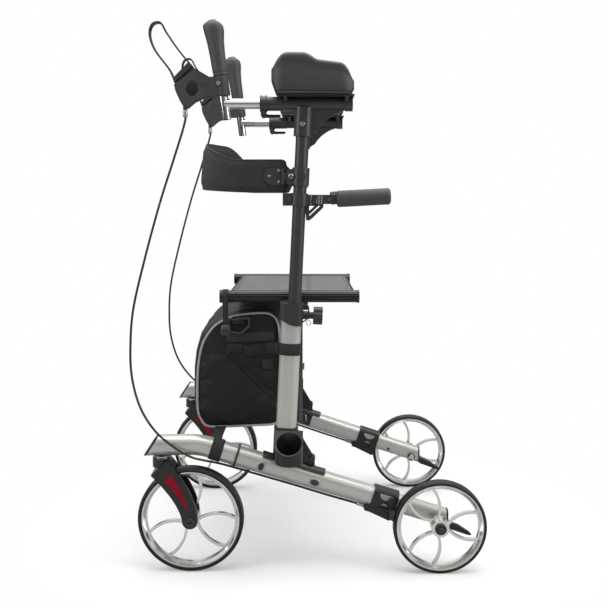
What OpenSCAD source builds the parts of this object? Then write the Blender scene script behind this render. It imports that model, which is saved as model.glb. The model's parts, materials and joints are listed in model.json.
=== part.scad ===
/* [Stance] */
// Distance from the front wheel axles to the rear wheel axles
wheelbase = 542.5; // [520:0.5:580]
// Distance between the two caster stems
front_track = 542; // [520:1:580]
// Distance between the middles of the two rear wheels
rear_track = 568; // [560:1:600]
// Distance that a front wheel trails behind its caster stem
caster_trail = 62; // [50:1:70]
// Distance from the caster stems back to the feet of the uprights
upright_setback = 267; // [255:1:280]
// Distance between the two posts
post_track = 500; // [490:1:510]
// Backward lean of the uprights and posts, in degrees
post_lean = 2.75; // [0:0.25:4]

/* [Wheels] */
// Outside diameter of the front wheels
front_wheel_d = 231; // [215:1:234]
// Width of the front tyres
front_tyre_w = 30; // [24:1:34]
// Depth of the front tyres from tread to rim
front_tyre_t = 9; // [6:0.5:14]
// Outside diameter of the rear wheels
rear_wheel_d = 203; // [190:1:215]
// Width of the rear tyres
rear_tyre_w = 28; // [22:1:30]
// Depth of the rear tyres from tread to rim
rear_tyre_t = 7; // [5:0.5:12]
// Radial depth of the rims
rim_depth = 10; // [8:0.5:16]
// Diameter of the wheel hubs
hub_d = 38; // [34:1:44]
// Length of the wheel hubs
hub_l = 34; // [32:1:36]
// Width of one spoke
spoke_w = 5.5; // [4:0.5:8]
// Thickness of one spoke through the wheel
spoke_t = 10; // [6:0.5:14]
// Angle between the two spokes of a pair at the rim
spoke_spread = 40; // [30:1:52]
// Diameter of the wheel axles
axle_d = 12; // [8:0.5:14]
// Outside diameter of the wheel bearings
bearing_d = 26; // [22:1:30]
// Width of one wheel bearing
bearing_w = 8; // [6:0.5:10]

/* [Casters] */
// Thickness of one fork arm
fork_t = 7; // [5:0.5:9]
// Gap between a fork arm and the tyre
fork_gap = 3; // [2:0.5:5]
// Width of a fork arm at the crown
fork_top_w = 48; // [42:1:52]
// Width of a fork arm at the axle
fork_end_w = 33; // [28:1:38]
// Diameter of the caster stem
stem_d = 16; // [12:1:18]
// Depth of the red inserts in the fork arms
insert_t = 2; // [1:0.5:3]

/* [Legs] */
// Height of the leg tube section
leg_h = 46; // [42:1:48]
// Width of the leg tube section
leg_w = 28; // [26:1:32]
// Wall of the leg tubes
leg_wall = 2; // [1.5:0.5:3]
// Height of the level front run, at the middle of the tube
leg_front_z = 278.5; // [276:0.5:290]
// Downward slope of the rear run, in degrees
leg_slope = 17.7; // [17:0.1:18.5]
// Distance from the caster stem back to the bend
bend_u = 82; // [70:1:95]
// Radius of the bend
bend_r = 150; // [100:5:180]
// Inward turn of the legs towards the rear, in degrees
leg_splay = 3; // [2:0.1:3.4]
// Length of the brake sleeve along the leg
sleeve_l = 56; // [50:1:62]
// Wall of the brake sleeve
sleeve_wall = 4; // [3:0.5:6]
// Length of the tip pedal behind the leg
pedal_l = 54; // [40:1:70]

/* [Uprights] */
// Fore and aft size of the upright tube
upright_l = 45; // [42:1:48]
// Sideways size of the upright tube
upright_w = 34; // [33:1:38]
// Wall of the upright tube
upright_wall = 2; // [1.5:0.5:2]
// Height of the upright's foot above the floor
upright_foot_z = 250; // [248:1:254]
// Length of the upright tube
upright_h = 325; // [260:1:390]
// Length of the collar on top of the upright
collar_h = 48; // [44:1:58]
// Wall of the collar round the upright
collar_wall = 3; // [2.5:0.5:5]
// Diameter of the height knob
knob_d = 39; // [32:1:42]
// Inside radius of the cane cup
cup_r = 27; // [24:0.5:30]
// Wall of the cane cup
cup_wall = 3; // [2:0.5:4]
// Depth of the cane cup at its low outer lip
cup_depth = 20; // [16:1:26]
// Outward tilt of the cane cup, in degrees
cup_tilt = 4; // [3:0.5:6]

/* [Posts and arm rests] */
// Diameter of the post
post_d = 28.6; // [26:0.2:29]
// Wall of the post
post_wall = 2.2; // [1.6:0.2:3]
// Length of the post
post_l = 602; // [480:1:720]
// Length of post that stands in the upright at rest
post_insert = 176; // [170:1:185]
// Height of the handle tube above the top of the post
arm_rise = 14.9; // [14:0.1:20]
// Diameter of the chromed handle tube
handle_tube_d = 22; // [20:0.5:24]
// Outside diameter of the arm rest's tube housing
housing_d = 28; // [27:1:32]
// Length of the arm pad
pad_l = 173; // [160:1:185]
// Width of the arm pad
pad_w = 106; // [95:1:110]
// Height of the arm pad at its high front end
pad_h = 85; // [75:1:95]
// Depth of the forearm trough
trough_h = 30; // [20:1:36]

/* [Handles] */
// Distance from the post back line forward to the handle
handle_reach = 128; // [122:1:137]
// Forward lean of the handle, in degrees
handle_lean = 7.5; // [4:0.5:10]
// Diameter of the handle's upright tube
handle_stem_d = 20; // [18:0.5:21]
// Length of the hand grip
grip_l = 118; // [105:1:125]
// Thickness of the brake housing
brake_w = 27; // [24:1:32]
// Width of the brake lever's band
lever_w = 18; // [14:1:22]
// Thickness of the brake lever's band
lever_t = 3.5; // [2.5:0.5:5]
// Diameter of the brake lever's pivot pin
lever_pin_d = 7; // [5:0.5:9]
// Diameter of the brake cable
cable_d = 5; // [4:0.5:6]
// Length of the rear assist grip
assist_l = 116; // [100:1:130]
// Diameter of the rear assist grip
assist_d = 36; // [30:1:40]

/* [Seat and fold] */
// Distance between the two seat rails
rail_track = 409; // [400:1:414]
// Height of the seat rails above the tops of the uprights
rail_lift = 21.4; // [20:0.2:25]
// Length of a seat rail between its end discs
rail_l = 298; // [270:1:320]
// Diameter of a seat rail
rail_d = 27; // [24:1:28]
// Distance between the two lower pivots of the cross brace
brace_track = 440; // [434:1:444]
// Height of the lower pivots of the cross brace
brace_z = 212; // [208:1:214]
// Depth of a brace bar
brace_h = 22; // [18:1:24]
// Thickness of a brace bar
brace_t = 11; // [8:0.5:11]
// Diameter of the brace pins
brace_pin_d = 10; // [8:0.5:12]
// Width of the bag across the walker
bag_w = 370; // [320:5:390]
// Length of the bag
bag_l = 181; // [150:1:190]
// Height of the bag
bag_h = 262; // [220:1:280]
// Thickness of the back belt
belt_t = 8; // [6:0.5:10]
// Height of the back belt at its ends
belt_h = 69; // [60:1:76]
// Rise of the back belt's top edge at the middle
belt_rise = 46; // [30:1:55]

/* [Hidden] */
$fn = 64;

// Clearances: a running fit, a seat between fixed pieces, and the room round moving pieces
fit = 0.05;
seat_gap = 0.1;
clear = 0.4;

// Stations along the walker, measured from a datum a little behind the uprights
stem_x = -326;
front_axle_x = stem_x + caster_trail;
rear_axle_x = front_axle_x + wheelbase;
upright_x = stem_x + upright_setback;
front_y = front_track / 2;
rear_y = rear_track / 2;
post_y = post_track / 2;
front_r = front_wheel_d / 2;
rear_r = rear_wheel_d / 2;

// Route of a brake cable, from the brake housing down to the brake sleeve
CABLE = [
    [-271, 250, 1004], [-271, 250, 988], [-271, 250, 981], [-278, 250, 955], [-297, 253, 895],
    [-326, 257, 805], [-358, 262, 690], [-384, 268, 580], [-391, 273, 500], [-388, 278, 430],
    [-370, 284, 365], [-338, 290, 315], [-298, 292, 280], [-262, 288, 257], [-232, 276, 245],
    [-195, 266, 234], [-120, 260, 210], [-40, 256, 185], [40, 252, 159], [90, 249, 143.5],
    [124, 247.5, 132.5]
];
cable_steps = 4;
cable_front_x = min([for (p = CABLE) p[0]]) - cable_d / 2;
// Middle of the overall length, which becomes the origin
mid_x = (cable_front_x + rear_axle_x + rear_r) / 2;

silver = [0.66, 0.66, 0.63];
black = [0.2, 0.21, 0.2];
dark = [0.14, 0.14, 0.14];
chrome = [0.82, 0.82, 0.82];

// Two half rounds joined by straight sides, long side along X
module stadium(long, short) {
    square([long - short, short], center = true);
    for (s = [-1, 1])
        translate([s * (long - short) / 2, 0])
            circle(d = short);
}

// Rectangle with round corners
module round_rect(w, h, r) {
    square([w - 2 * r, h], center = true);
    square([w, h - 2 * r], center = true);
    for (sx = [-1, 1], sy = [-1, 1])
        translate([sx * (w / 2 - r), sy * (h / 2 - r)])
            circle(r = r);
}

// An outline drawn in X and Z, thickened from y0 to y1
module across(y0, y1) {
    translate([0, y1, 0])
        rotate([90, 0, 0])
            linear_extrude(y1 - y0)
                children();
}

// An outline drawn in Y and Z, drawn out from x0 to x1
module along(x0, x1) {
    translate([x0, 0, 0])
        rotate([90, 0, 90])
            linear_extrude(x1 - x0)
                children();
}

module rod_x(x0, x1, d) {
    translate([x0, 0, 0])
        rotate([0, 90, 0])
            cylinder(h = x1 - x0, d = d);
}

module rod_y(y0, y1, d) {
    translate([0, y0, 0])
        rotate([-90, 0, 0])
            cylinder(h = y1 - y0, d = d);
}

function arc(c, r, a0, a1, n) =
    [for (i = [0:n]) let (a = a0 + (a1 - a0) * i / n) [c[0] + r * cos(a), c[1] + r * sin(a)]];

// Closed skin through rings of equal count, each ring turning right-handed about the way forward
module loft(rings) {
    n = len(rings[0]);
    m = len(rings);
    sides = [
        for (i = [0:m - 2], j = [0:n - 1], half = [0, 1])
            let (k = (j + 1) % n)
            half == 0
                ? [i * n + j, (i + 1) * n + j, (i + 1) * n + k]
                : [i * n + j, (i + 1) * n + k, i * n + k]
    ];
    caps = [[for (j = [0:n - 1]) j], [for (j = [n - 1:-1:0]) (m - 1) * n + j]];
    polyhedron(points = [for (ring = rings) each ring], faces = concat(sides, caps), convexity = 6);
}

// Smooth curve through the points of a route
function spline_at(p, i, t) =
    let (
        a = p[max(i - 1, 0)],
        b = p[i],
        c = p[min(i + 1, len(p) - 1)],
        d = p[min(i + 2, len(p) - 1)]
    )
    0.5 * (2 * b + (c - a) * t + (2 * a - 5 * b + 4 * c - d) * t * t + (3 * b - a - 3 * c + d) * t * t * t);
function smooth(p, n) =
    concat(
        [for (i = [0:len(p) - 2], k = [0:n - 1]) spline_at(p, i, k / n)],
        [p[len(p) - 1]]
    );
function unit(v) = v / norm(v);

// Round cord swept along a curve that never runs sideways
module cord(curve, d, sides) {
    last = len(curve) - 1;
    loft([
        for (i = [0:last])
            let (
                way = unit(curve[min(i + 1, last)] - curve[max(i - 1, 0)]),
                u = unit(cross([0, 1, 0], way)),
                v = cross(way, u)
            )
            [for (j = [0:sides - 1]) let (a = 360 * j / sides) curve[i] + d / 2 * (cos(a) * u + sin(a) * v)]
    ]);
}

// Frames of the sloping leg, the leaning upright and the leaning handle, on the right-hand side
module leg_frame() {
    translate([stem_x, front_y, 0])
        rotate([0, 0, -leg_splay])
            children();
}

module slope_frame() {
    leg_frame()
        translate([bend_u, 0, leg_front_z])
            rotate([0, leg_slope, 0])
                children();
}

module upright_frame() {
    translate([upright_x, post_y, upright_foot_z])
        rotate([0, post_lean, 0])
            children();
}

// The post runs in the rear round of the oval upright
post_shift = (upright_l - upright_w) / 2;
module post_frame() {
    upright_frame()
        translate([post_shift, 0, 0])
            children();
}

handle_x = upright_x - handle_reach;
module handle_frame() {
    translate([handle_x, post_y, arm_z])
        children();
}

module handle_axis() {
    handle_frame()
        rotate([0, -handle_lean, 0])
            children();
}

module right_side() {
    translate([-mid_x, 0, 0])
        children();
}

module left_side() {
    right_side()
        mirror([0, 1, 0])
            children();
}

// Leg lengths, measured along the sloping run from the bend
bend_t = bend_r * tan(leg_slope / 2);
bend_lap = 0.3;
rear_u = (rear_axle_x - stem_x) / cos(leg_splay);
rear_drop = leg_front_z - rear_r;
axle_s = (rear_u - bend_u) * cos(leg_slope) + rear_drop * sin(leg_slope);
rear_leg_y = front_y - (rear_axle_x - stem_x) * tan(leg_splay);
leg_end_u = rear_u + 20;
sleeve_s = axle_s - 156;
main_end_s = sleeve_s + sleeve_l / 3;
rear_leg_h = leg_h - 2 * leg_wall - 2 * seat_gap;
rear_leg_w = leg_w - 2 * leg_wall - 2 * seat_gap;
nose_lean = 33;
nose_u = -20;
nose_t = 5;

module leg_section(h, w) {
    rotate(90)
        stadium(h, w);
}

// Solid run of the main leg, from before its nose to the sleeve
module leg_run(h, w, end_s) {
    leg_frame() {
        translate([0, 0, leg_front_z])
            along(-60, bend_u - bend_t)
                leg_section(h, w);
        translate([bend_u - bend_t, 0, leg_front_z - bend_r])
            rotate([90, 0, 0])
                rotate([0, 0, 90 - leg_slope - bend_lap])
                    rotate_extrude(angle = leg_slope + 2 * bend_lap)
                        translate([bend_r, 0])
                            stadium(h + 2 * fit, w + 2 * fit);
    }
    slope_frame()
        along(bend_t, end_s)
            leg_section(h, w);
}

// Everything in front of the slanting nose, set back by a depth
module nose_cut(depth) {
    leg_frame()
        translate([nose_u + depth, 0, leg_front_z])
            rotate([0, nose_lean, 0])
                translate([-150, -50, -100])
                    cube([150, 100, 200]);
}

module leg_end_cut(past) {
    leg_frame()
        translate([leg_end_u + past, -50, 0])
            cube([120, 100, 260]);
}

module leg_tube() {
    color(silver)
        difference() {
            leg_run(leg_h, leg_w, main_end_s);
            leg_run(leg_h - 2 * leg_wall, leg_w - 2 * leg_wall, main_end_s + 1);
            nose_cut(0);
            translate([stem_x, front_y, 0])
                cylinder(h = leg_front_z, d = stem_d + 6 + 2 * fit);
        }
    color(silver)
        difference() {
            slope_frame()
                along(main_end_s - 60, axle_s + 60)
                    leg_section(rear_leg_h, rear_leg_w);
            slope_frame()
                along(main_end_s - 61, axle_s + 61)
                    leg_section(rear_leg_h - 2 * leg_wall, rear_leg_w - 2 * leg_wall);
            leg_end_cut(0);
            translate([rear_axle_x, rear_leg_y, rear_r])
                rod_y(-40, 40, axle_d + 2 * fit);
        }
}

// Black fittings on the leg: nose cap, stem bush, brake sleeve, end cap with tip pedal, rear axle
sleeve_h = leg_h + 2 * sleeve_wall;
sleeve_w = leg_w + 2 * sleeve_wall;
lug_drop = 14;
window_r = sleeve_l * 0.29;
shoe_s = sleeve_s + sleeve_l - 12;
shoe_n = 6;
hub_gap = 0.5;
spacer_d = axle_d + 8;
axle_cap_d = 25;
shoe_pin_d = 8;
shoe_t = 5;

module brake_sleeve() {
    difference() {
        slope_frame() {
            along(sleeve_s, sleeve_s + sleeve_l)
                leg_section(sleeve_h, sleeve_w);
            across(-sleeve_w / 3, sleeve_w / 3)
                polygon([
                    [sleeve_s - 8, -sleeve_h / 2 + 8],
                    [sleeve_s - 8, -sleeve_h / 2 - lug_drop / 2],
                    [sleeve_s + 4, -sleeve_h / 2 - lug_drop / 2],
                    [sleeve_s + sleeve_l - 4, -sleeve_h / 2 - lug_drop],
                    [sleeve_s + sleeve_l + 2, -sleeve_h / 2 - lug_drop / 2],
                    [sleeve_s + sleeve_l, -sleeve_h / 2 + 8]
                ]);
        }
        slope_frame() {
            along(sleeve_s - 20, main_end_s + seat_gap)
                leg_section(leg_h + 2 * seat_gap, leg_w + 2 * seat_gap);
            along(main_end_s, sleeve_s + sleeve_l + 20)
                leg_section(rear_leg_h + 2 * seat_gap, rear_leg_w + 2 * seat_gap);
            translate([sleeve_s, 0, -leg_h / 2 - 4])
                rod_x(-20, 8, cable_d + 1);
            for (s = [-1, 1])
                translate([sleeve_s + sleeve_l / 2 + 2, 0, s * window_r])
                    across(-sleeve_w, sleeve_w)
                        difference() {
                            circle(r = window_r * (0.83 + 0.17 * s));
                            translate([-50, s > 0 ? 0 : -50])
                                square([100, 50]);
                        }
        }
    }
}

module leg_fittings() {
    color(dark)
        difference() {
            leg_frame()
                translate([0, 0, leg_front_z])
                    along(-60, 30)
                        leg_section(leg_h, leg_w);
            nose_cut(-nose_t);
            leg_frame()
                translate([nose_u, 0, leg_front_z])
                    rotate([0, nose_lean, 0])
                        translate([0, -60, -150])
                            cube([300, 120, 300]);
        }
    color(chrome)
        translate([stem_x, front_y, 0])
            difference() {
                union() {
                    translate([0, 0, leg_front_z - leg_h / 2 - 3])
                        cylinder(h = leg_h / 2 + 10, d = stem_d + 6);
                    translate([0, 0, leg_front_z - leg_h / 2 - 3])
                        cylinder(h = 2.8, d = stem_d + 14);
                }
                cylinder(h = leg_front_z + 50, d = stem_d + 2 * fit);
            }
    color(black)
        brake_sleeve();
    color(black)
        translate([shoe_x, shoe_y, shoe_z])
            rod_y(-3.5, shoe_t + 2, shoe_pin_d);
    color(dark)
        difference() {
            slope_frame()
                along(axle_s - 30, axle_s + 60)
                    leg_section(rear_leg_h, rear_leg_w);
            leg_end_cut(4);
            leg_frame()
                translate([leg_end_u - 200, -50, 0])
                    cube([200, 100, 300]);
        }
    color(black)
        leg_frame()
            translate([leg_end_u + 4, 0, rear_r])
                across(-7, 7)
                    polygon([
                        [0, -5], [pedal_l * 0.5, -16], [pedal_l - 3, -32], [pedal_l, -36],
                        [pedal_l - 6, -37], [0, -20]
                    ]);
    color(dark)
        translate([rear_axle_x, 0, rear_r])
            rear_axle();
}

// Rear axle bolt with its spacer against the leg and a domed cap outside the wheel
module rear_axle() {
    hub_in = rear_y - hub_l / 2 - hub_gap;
    hub_out = rear_y + hub_l / 2 + hub_gap;
    rod_y(rear_leg_y - rear_leg_w / 2 - 4, hub_out + 4, axle_d);
    rod_y(rear_leg_y + rear_leg_w / 2 + 1.2, hub_in, spacer_d);
    rod_y(rear_leg_y - rear_leg_w / 2 - 8, rear_leg_y - rear_leg_w / 2 - 1.2, spacer_d);
    translate([0, hub_out, 0])
        rotate([-90, 0, 0])
            rotate_extrude()
                polygon(concat([[0, 0], [axle_cap_d / 2, 0]], arc([axle_cap_d / 2 - 4, 2], 4, 0, 90, 6), [[0, 6.5]]));
}

// One wheel: pairs of bowed spokes like a lyre, three pairs round the hub
module spoke_pair(r_in, r_out) {
    half = spoke_spread / 2;
    root = half * 0.7;
    p = [r_in * cos(root), r_in * sin(root)];
    q = [r_out * cos(half), r_out * sin(half)];
    chord = norm(q - p);
    bow_r = chord * 0.95;
    inward = unit([q[1] - p[1], p[0] - q[0]]);
    c = (p + q) / 2 + inward * sqrt(bow_r * bow_r - chord * chord / 4);
    reach = r_out * 1.5;
    for (s = [0, 1])
        mirror([0, s])
            intersection() {
                difference() {
                    translate(c)
                        circle(r = bow_r + spoke_w / 2);
                    translate(c)
                        circle(r = bow_r - spoke_w / 2);
                }
                difference() {
                    circle(r = r_out);
                    circle(r = r_in);
                }
                polygon([[0, 0], [reach, 0], [reach * cos(half + 25), reach * sin(half + 25)]]);
            }
}

module wheel_rim(wheel_d, tyre_w, tyre_t, turn) {
    r_out = wheel_d / 2 - tyre_t;
    r_in = r_out - rim_depth;
    edge = tyre_w / 2 - 1.5;
    difference() {
        union() {
            rotate([90, 0, 0])
                rotate_extrude($fn = 128)
                    polygon([
                        [r_in, -spoke_t / 2], [r_in + 3, -spoke_t / 2 - 1], [r_out - 3, -edge], [r_out, -edge],
                        [r_out, edge], [r_out - 3, edge], [r_in + 3, spoke_t / 2 + 1], [r_in, spoke_t / 2]
                    ]);
            rod_y(-hub_l / 2, hub_l / 2, hub_d);
            across(-spoke_t / 2, spoke_t / 2)
                for (k = [0:2])
                    rotate(turn + 120 * k)
                        spoke_pair(hub_d / 2 - 1.5, r_in + 1.5);
        }
        rod_y(-hub_l, hub_l, axle_d + 6);
        for (s = [-1, 1])
            translate([0, s * (hub_l / 2 - bearing_w / 2), 0])
                rod_y(-bearing_w / 2 - (s < 0 ? 1 : 0), bearing_w / 2 + (s > 0 ? 1 : 0), bearing_d);
    }
    for (s = [-1, 1])
        translate([0, s * (hub_l / 2 - bearing_w / 2), 0])
            difference() {
                rod_y(-bearing_w / 2, bearing_w / 2, bearing_d - 2 * fit);
                rod_y(-bearing_w, bearing_w, axle_d + 2 * fit);
            }
}

module wheel_tyre(wheel_d, tyre_w, tyre_t) {
    rotate([90, 0, 0])
        rotate_extrude($fn = 128)
            difference() {
                translate([wheel_d / 2 - tyre_t, 0])
                    round_rect(2 * tyre_t, tyre_w, min(tyre_t, tyre_w / 2) * 0.7);
                translate([0, -tyre_w])
                    square([wheel_d / 2 - tyre_t + fit, 2 * tyre_w]);
            }
}

module front_rim() {
    color([0.88, 0.88, 0.84])
        translate([front_axle_x, front_y, front_r])
            wheel_rim(front_wheel_d, front_tyre_w, front_tyre_t, 100);
}

module front_tyre() {
    color(dark)
        translate([front_axle_x, front_y, front_r])
            wheel_tyre(front_wheel_d, front_tyre_w, front_tyre_t);
}

module rear_rim() {
    color([0.88, 0.88, 0.84])
        translate([rear_axle_x, rear_y, rear_r])
            wheel_rim(rear_wheel_d, rear_tyre_w, rear_tyre_t, 1);
}

module rear_tyre() {
    color(dark)
        translate([rear_axle_x, rear_y, rear_r])
            wheel_tyre(rear_wheel_d, rear_tyre_w, rear_tyre_t);
}

// Caster fork: two curved blades from the crown down to the axle
fork_in = front_tyre_w / 2 + fork_gap;
fork_out = fork_in + fork_t;
head_top = leg_front_z - leg_h / 2 - 3 - clear;
head_d = 41;
fork_start = [stem_x - 4, head_top - 18];
fork_pull = [front_axle_x - 2, front_r + 50];
fork_tip = [front_axle_x, front_r];
fork_steps = 14;
function fork_at(t) = fork_start * (1 - t) * (1 - t) + fork_pull * 2 * t * (1 - t) + fork_tip * t * t;
function fork_way(t) = unit((fork_pull - fork_start) * (1 - t) + (fork_tip - fork_pull) * t);
function fork_edge(t, w) = fork_at(t) + w / 2 * [-fork_way(t)[1], fork_way(t)[0]];
function blade(t0, t1, w0, w1) = [
    for (s = [1, -1], i = [0:fork_steps])
        let (
            k = s > 0 ? i : fork_steps - i,
            t = t0 + (t1 - t0) * k / fork_steps,
            w = w0 + (w1 - w0) * k / fork_steps
        )
        fork_edge(t, s * w)
];

module fork_outline() {
    polygon(blade(0, 1, fork_top_w, fork_end_w));
    translate(fork_tip)
        circle(d = fork_end_w);
}

module insert_outline(grow) {
    polygon(blade(0.16, 0.74, 20 + 2 * grow, 5 + 2 * grow));
}

module caster_fork() {
    color(black)
        difference() {
            translate([0, front_y, 0]) {
                for (s = [-1, 1])
                    across(s > 0 ? fork_in : -fork_out, s > 0 ? fork_out : -fork_in)
                        fork_outline();
                difference() {
                    across(-fork_out, fork_out)
                        fork_outline();
                    translate([front_axle_x, 0, front_r])
                        rod_y(-fork_out - 1, fork_out + 1, front_wheel_d + 8);
                }
                translate([stem_x, 0, head_top - 20])
                    cylinder(h = 20, d = head_d);
                translate([stem_x, 0, head_top - 1])
                    cylinder(h = leg_h / 2 + 8, d = stem_d);
            }
            translate([front_axle_x, front_y, front_r])
                rod_y(-fork_out - 1, fork_out + 1, axle_d + 2 * fit);
            for (s = [-1, 1])
                translate([0, front_y, 0])
                    across(s > 0 ? fork_out - insert_t : -fork_out - 1, s > 0 ? fork_out + 1 : insert_t - fork_out)
                        insert_outline(seat_gap);
        }
    color(chrome)
        translate([front_axle_x, front_y, front_r]) {
            rod_y(-fork_out - 3, fork_out + 3, axle_d);
            for (s = [-1, 1])
                translate([0, s * (fork_out + 2 + seat_gap), 0])
                    rod_y(-2, 2, axle_d + 7);
        }
}

module reflector() {
    color([0.5, 0.08, 0.14])
        for (s = [-1, 1])
            translate([0, front_y, 0])
                across(s > 0 ? fork_out - insert_t + fit : -fork_out - 0.5, s > 0 ? fork_out + 0.5 : insert_t - fork_out - fit)
                    insert_outline(0);
}

// Brake shoe: an arm on the sleeve's pin and a curved block in front of the tyre
shoe_gap = 2.4;
shoe_block_t = 9;
shoe_x = stem_x + (bend_u + shoe_s * cos(leg_slope) + shoe_n * sin(leg_slope)) * cos(leg_splay);
shoe_z = leg_front_z - shoe_s * sin(leg_slope) + shoe_n * cos(leg_slope);
shoe_y = front_y - (shoe_x - stem_x) * tan(leg_splay) + sleeve_w / 2 / cos(leg_splay) + 1.4;
shoe_face_r = rear_r + shoe_gap;

module brake_shoe() {
    color(black)
        difference() {
            union() {
                across(shoe_y, shoe_y + shoe_t) {
                    translate([shoe_x, shoe_z])
                        circle(d = shoe_pin_d + 8);
                    polygon([
                        [shoe_x - 8, shoe_z], [shoe_x - 8, shoe_z - 28], [shoe_x + 2, shoe_z - 34],
                        [shoe_x + 8, shoe_z - 30], [shoe_x + 8, shoe_z]
                    ]);
                }
                across(shoe_y, rear_y + rear_tyre_w / 2 - 2)
                    polygon([
                        [shoe_x - 8, shoe_z - 16], [shoe_x - 8, shoe_z - 30], [shoe_x + 2, shoe_z - 36],
                        [shoe_x + 14, shoe_z - 34], [shoe_x + 14, shoe_z - 16]
                    ]);
            }
            translate([rear_axle_x, 0, rear_r])
                rod_y(shoe_y - 1, rear_y + rear_tyre_w, 2 * shoe_face_r);
            translate([shoe_x, 0, shoe_z])
                rod_y(shoe_y - 1, shoe_y + shoe_t + 1, shoe_pin_d + 2 * fit);
        }
}

// Upright tube and the bracket that seats it on the leg
module upright() {
    color(silver)
        difference() {
            upright_frame()
                linear_extrude(upright_h)
                    stadium(upright_l, upright_w);
            upright_frame()
                translate([0, 0, -1])
                    linear_extrude(upright_h + 2)
                        stadium(upright_l - 2 * upright_wall, upright_w - 2 * upright_wall);
            upright_frame()
                translate([0, 0, knob_w])
                    rod_x(0, upright_l, knob_shank_d + 2 * clear);
        }
}

bracket_wall = 4;
saddle_wall = 4;
saddle_s0 = 138;
saddle_s1 = 280;
socket_h = 64;
gusset_t = 9;
brace_y = brace_track / 2;
brace_x = upright_x + 16;
brace_gap = 1;
barrel_x0 = brace_x - 1;
barrel_x1 = brace_x + 2 * brace_t + brace_gap + 1;
ear_t = 5.5;
ear_d = 26;
cup_x = upright_x + 10;
cup_y = post_y + upright_w / 2 + bracket_wall + cup_r + 1;
cup_floor_z = upright_foot_z + 2;
cup_slant = 30;

module leg_solid() {
    leg_run(leg_h + 2 * seat_gap, leg_w + 2 * seat_gap, main_end_s + 60);
}

module bracket_ears() {
    for (x = [barrel_x0 - clear - ear_t, barrel_x1 + clear])
        along(x, x + ear_t) {
            translate([brace_y, brace_z])
                circle(d = ear_d);
            translate([brace_y, brace_z - ear_d / 2])
                square([post_y - brace_y + 8, ear_d]);
        }
}

module cane_cup() {
    cup_out = cup_r + cup_wall;
    translate([cup_x, cup_y, cup_floor_z])
        rotate([-cup_tilt, 0, 0])
            difference() {
                union() {
                    translate([0, 0, -4])
                        cylinder(h = 84, r = cup_out);
                    translate([-cup_out, post_y + upright_w / 2 - cup_y, -4])
                        cube([2 * cup_out, cup_y - post_y - upright_w / 2, 84]);
                }
                cylinder(h = 90, r = cup_r);
                translate([0, cup_out, cup_depth])
                    rotate([-cup_slant, 0, 0])
                        translate([-60, -120, 0])
                            cube([120, 160, 100]);
            }
}

module base_bracket() {
    color(black)
        difference() {
            union() {
                upright_frame()
                    translate([0, 0, -40])
                        linear_extrude(socket_h + 40)
                            stadium(upright_l + 2 * bracket_wall, upright_w + 2 * bracket_wall);
                slope_frame()
                    intersection() {
                        along(saddle_s0, saddle_s1)
                            leg_section(leg_h + 2 * saddle_wall, leg_w + 2 * saddle_wall);
                        translate([0, -50, 18])
                            cube([600, 100, 50]);
                    }
                slope_frame()
                    intersection() {
                        along(saddle_s0 + 62, saddle_s1 - 20)
                            leg_section(leg_h + 2 * saddle_wall, leg_w + 2 * saddle_wall);
                        translate([0, -50, -16])
                            cube([600, 50, 60]);
                    }
                across(post_y - gusset_t / 2, post_y + gusset_t / 2)
                    polygon([
                        [upright_x + 10, upright_foot_z + socket_h - 4], [upright_x + 28, upright_foot_z + socket_h - 6],
                        [upright_x + 66, upright_foot_z - 8], [upright_x + 66, upright_foot_z - 30],
                        [upright_x + 10, upright_foot_z - 30]
                    ]);
                translate([upright_x + 60, 0, upright_foot_z - 6])
                    rod_y(post_y - 8, post_y + 8, 14);
                bracket_ears();
                cane_cup();
            }
            upright_frame()
                linear_extrude(200)
                    stadium(upright_l + 2 * seat_gap, upright_w + 2 * seat_gap);
            leg_solid();
            translate([upright_x - 60, post_y + 20, upright_foot_z - 60])
                cube([120, 20, 40]);
            translate([0, brace_y, brace_z]) {
                rod_x(barrel_x0 - 20, barrel_x1 + 20, brace_pin_d + 2 * fit);
                rod_x(barrel_x0 - 0.35, barrel_x1 + 0.35, brace_h + 4);
            }
        }
    color(chrome)
        translate([0, brace_y, brace_z]) {
            rod_x(barrel_x0 - ear_t - 2, barrel_x1 + ear_t + 2, brace_pin_d);
            rod_x(barrel_x1 + ear_t + clear + seat_gap, barrel_x1 + ear_t + 4, brace_pin_d + 6);
        }
}

// Collar on the upright, with the clamp boss behind and a cradle for the seat rail inside
collar_w0 = upright_h + 12 - collar_h;
collar_l = upright_l + 2 * collar_wall;
collar_d = upright_w + 2 * collar_wall;
collar_dip = 16;
collar_r = (pow(collar_l - 8, 2) + pow(collar_dip, 2)) / (2 * collar_dip);
knob_w = upright_h - 13;
knob_shank_d = 10;
knob_boss_l = 14;
cradle_l = 16;
rail_y = rail_track / 2;
rail_z = upright_foot_z + upright_h * cos(post_lean) + rail_lift;
cradle_x = upright_x + knob_w * sin(post_lean) - collar_l / 2 + 2;

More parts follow.
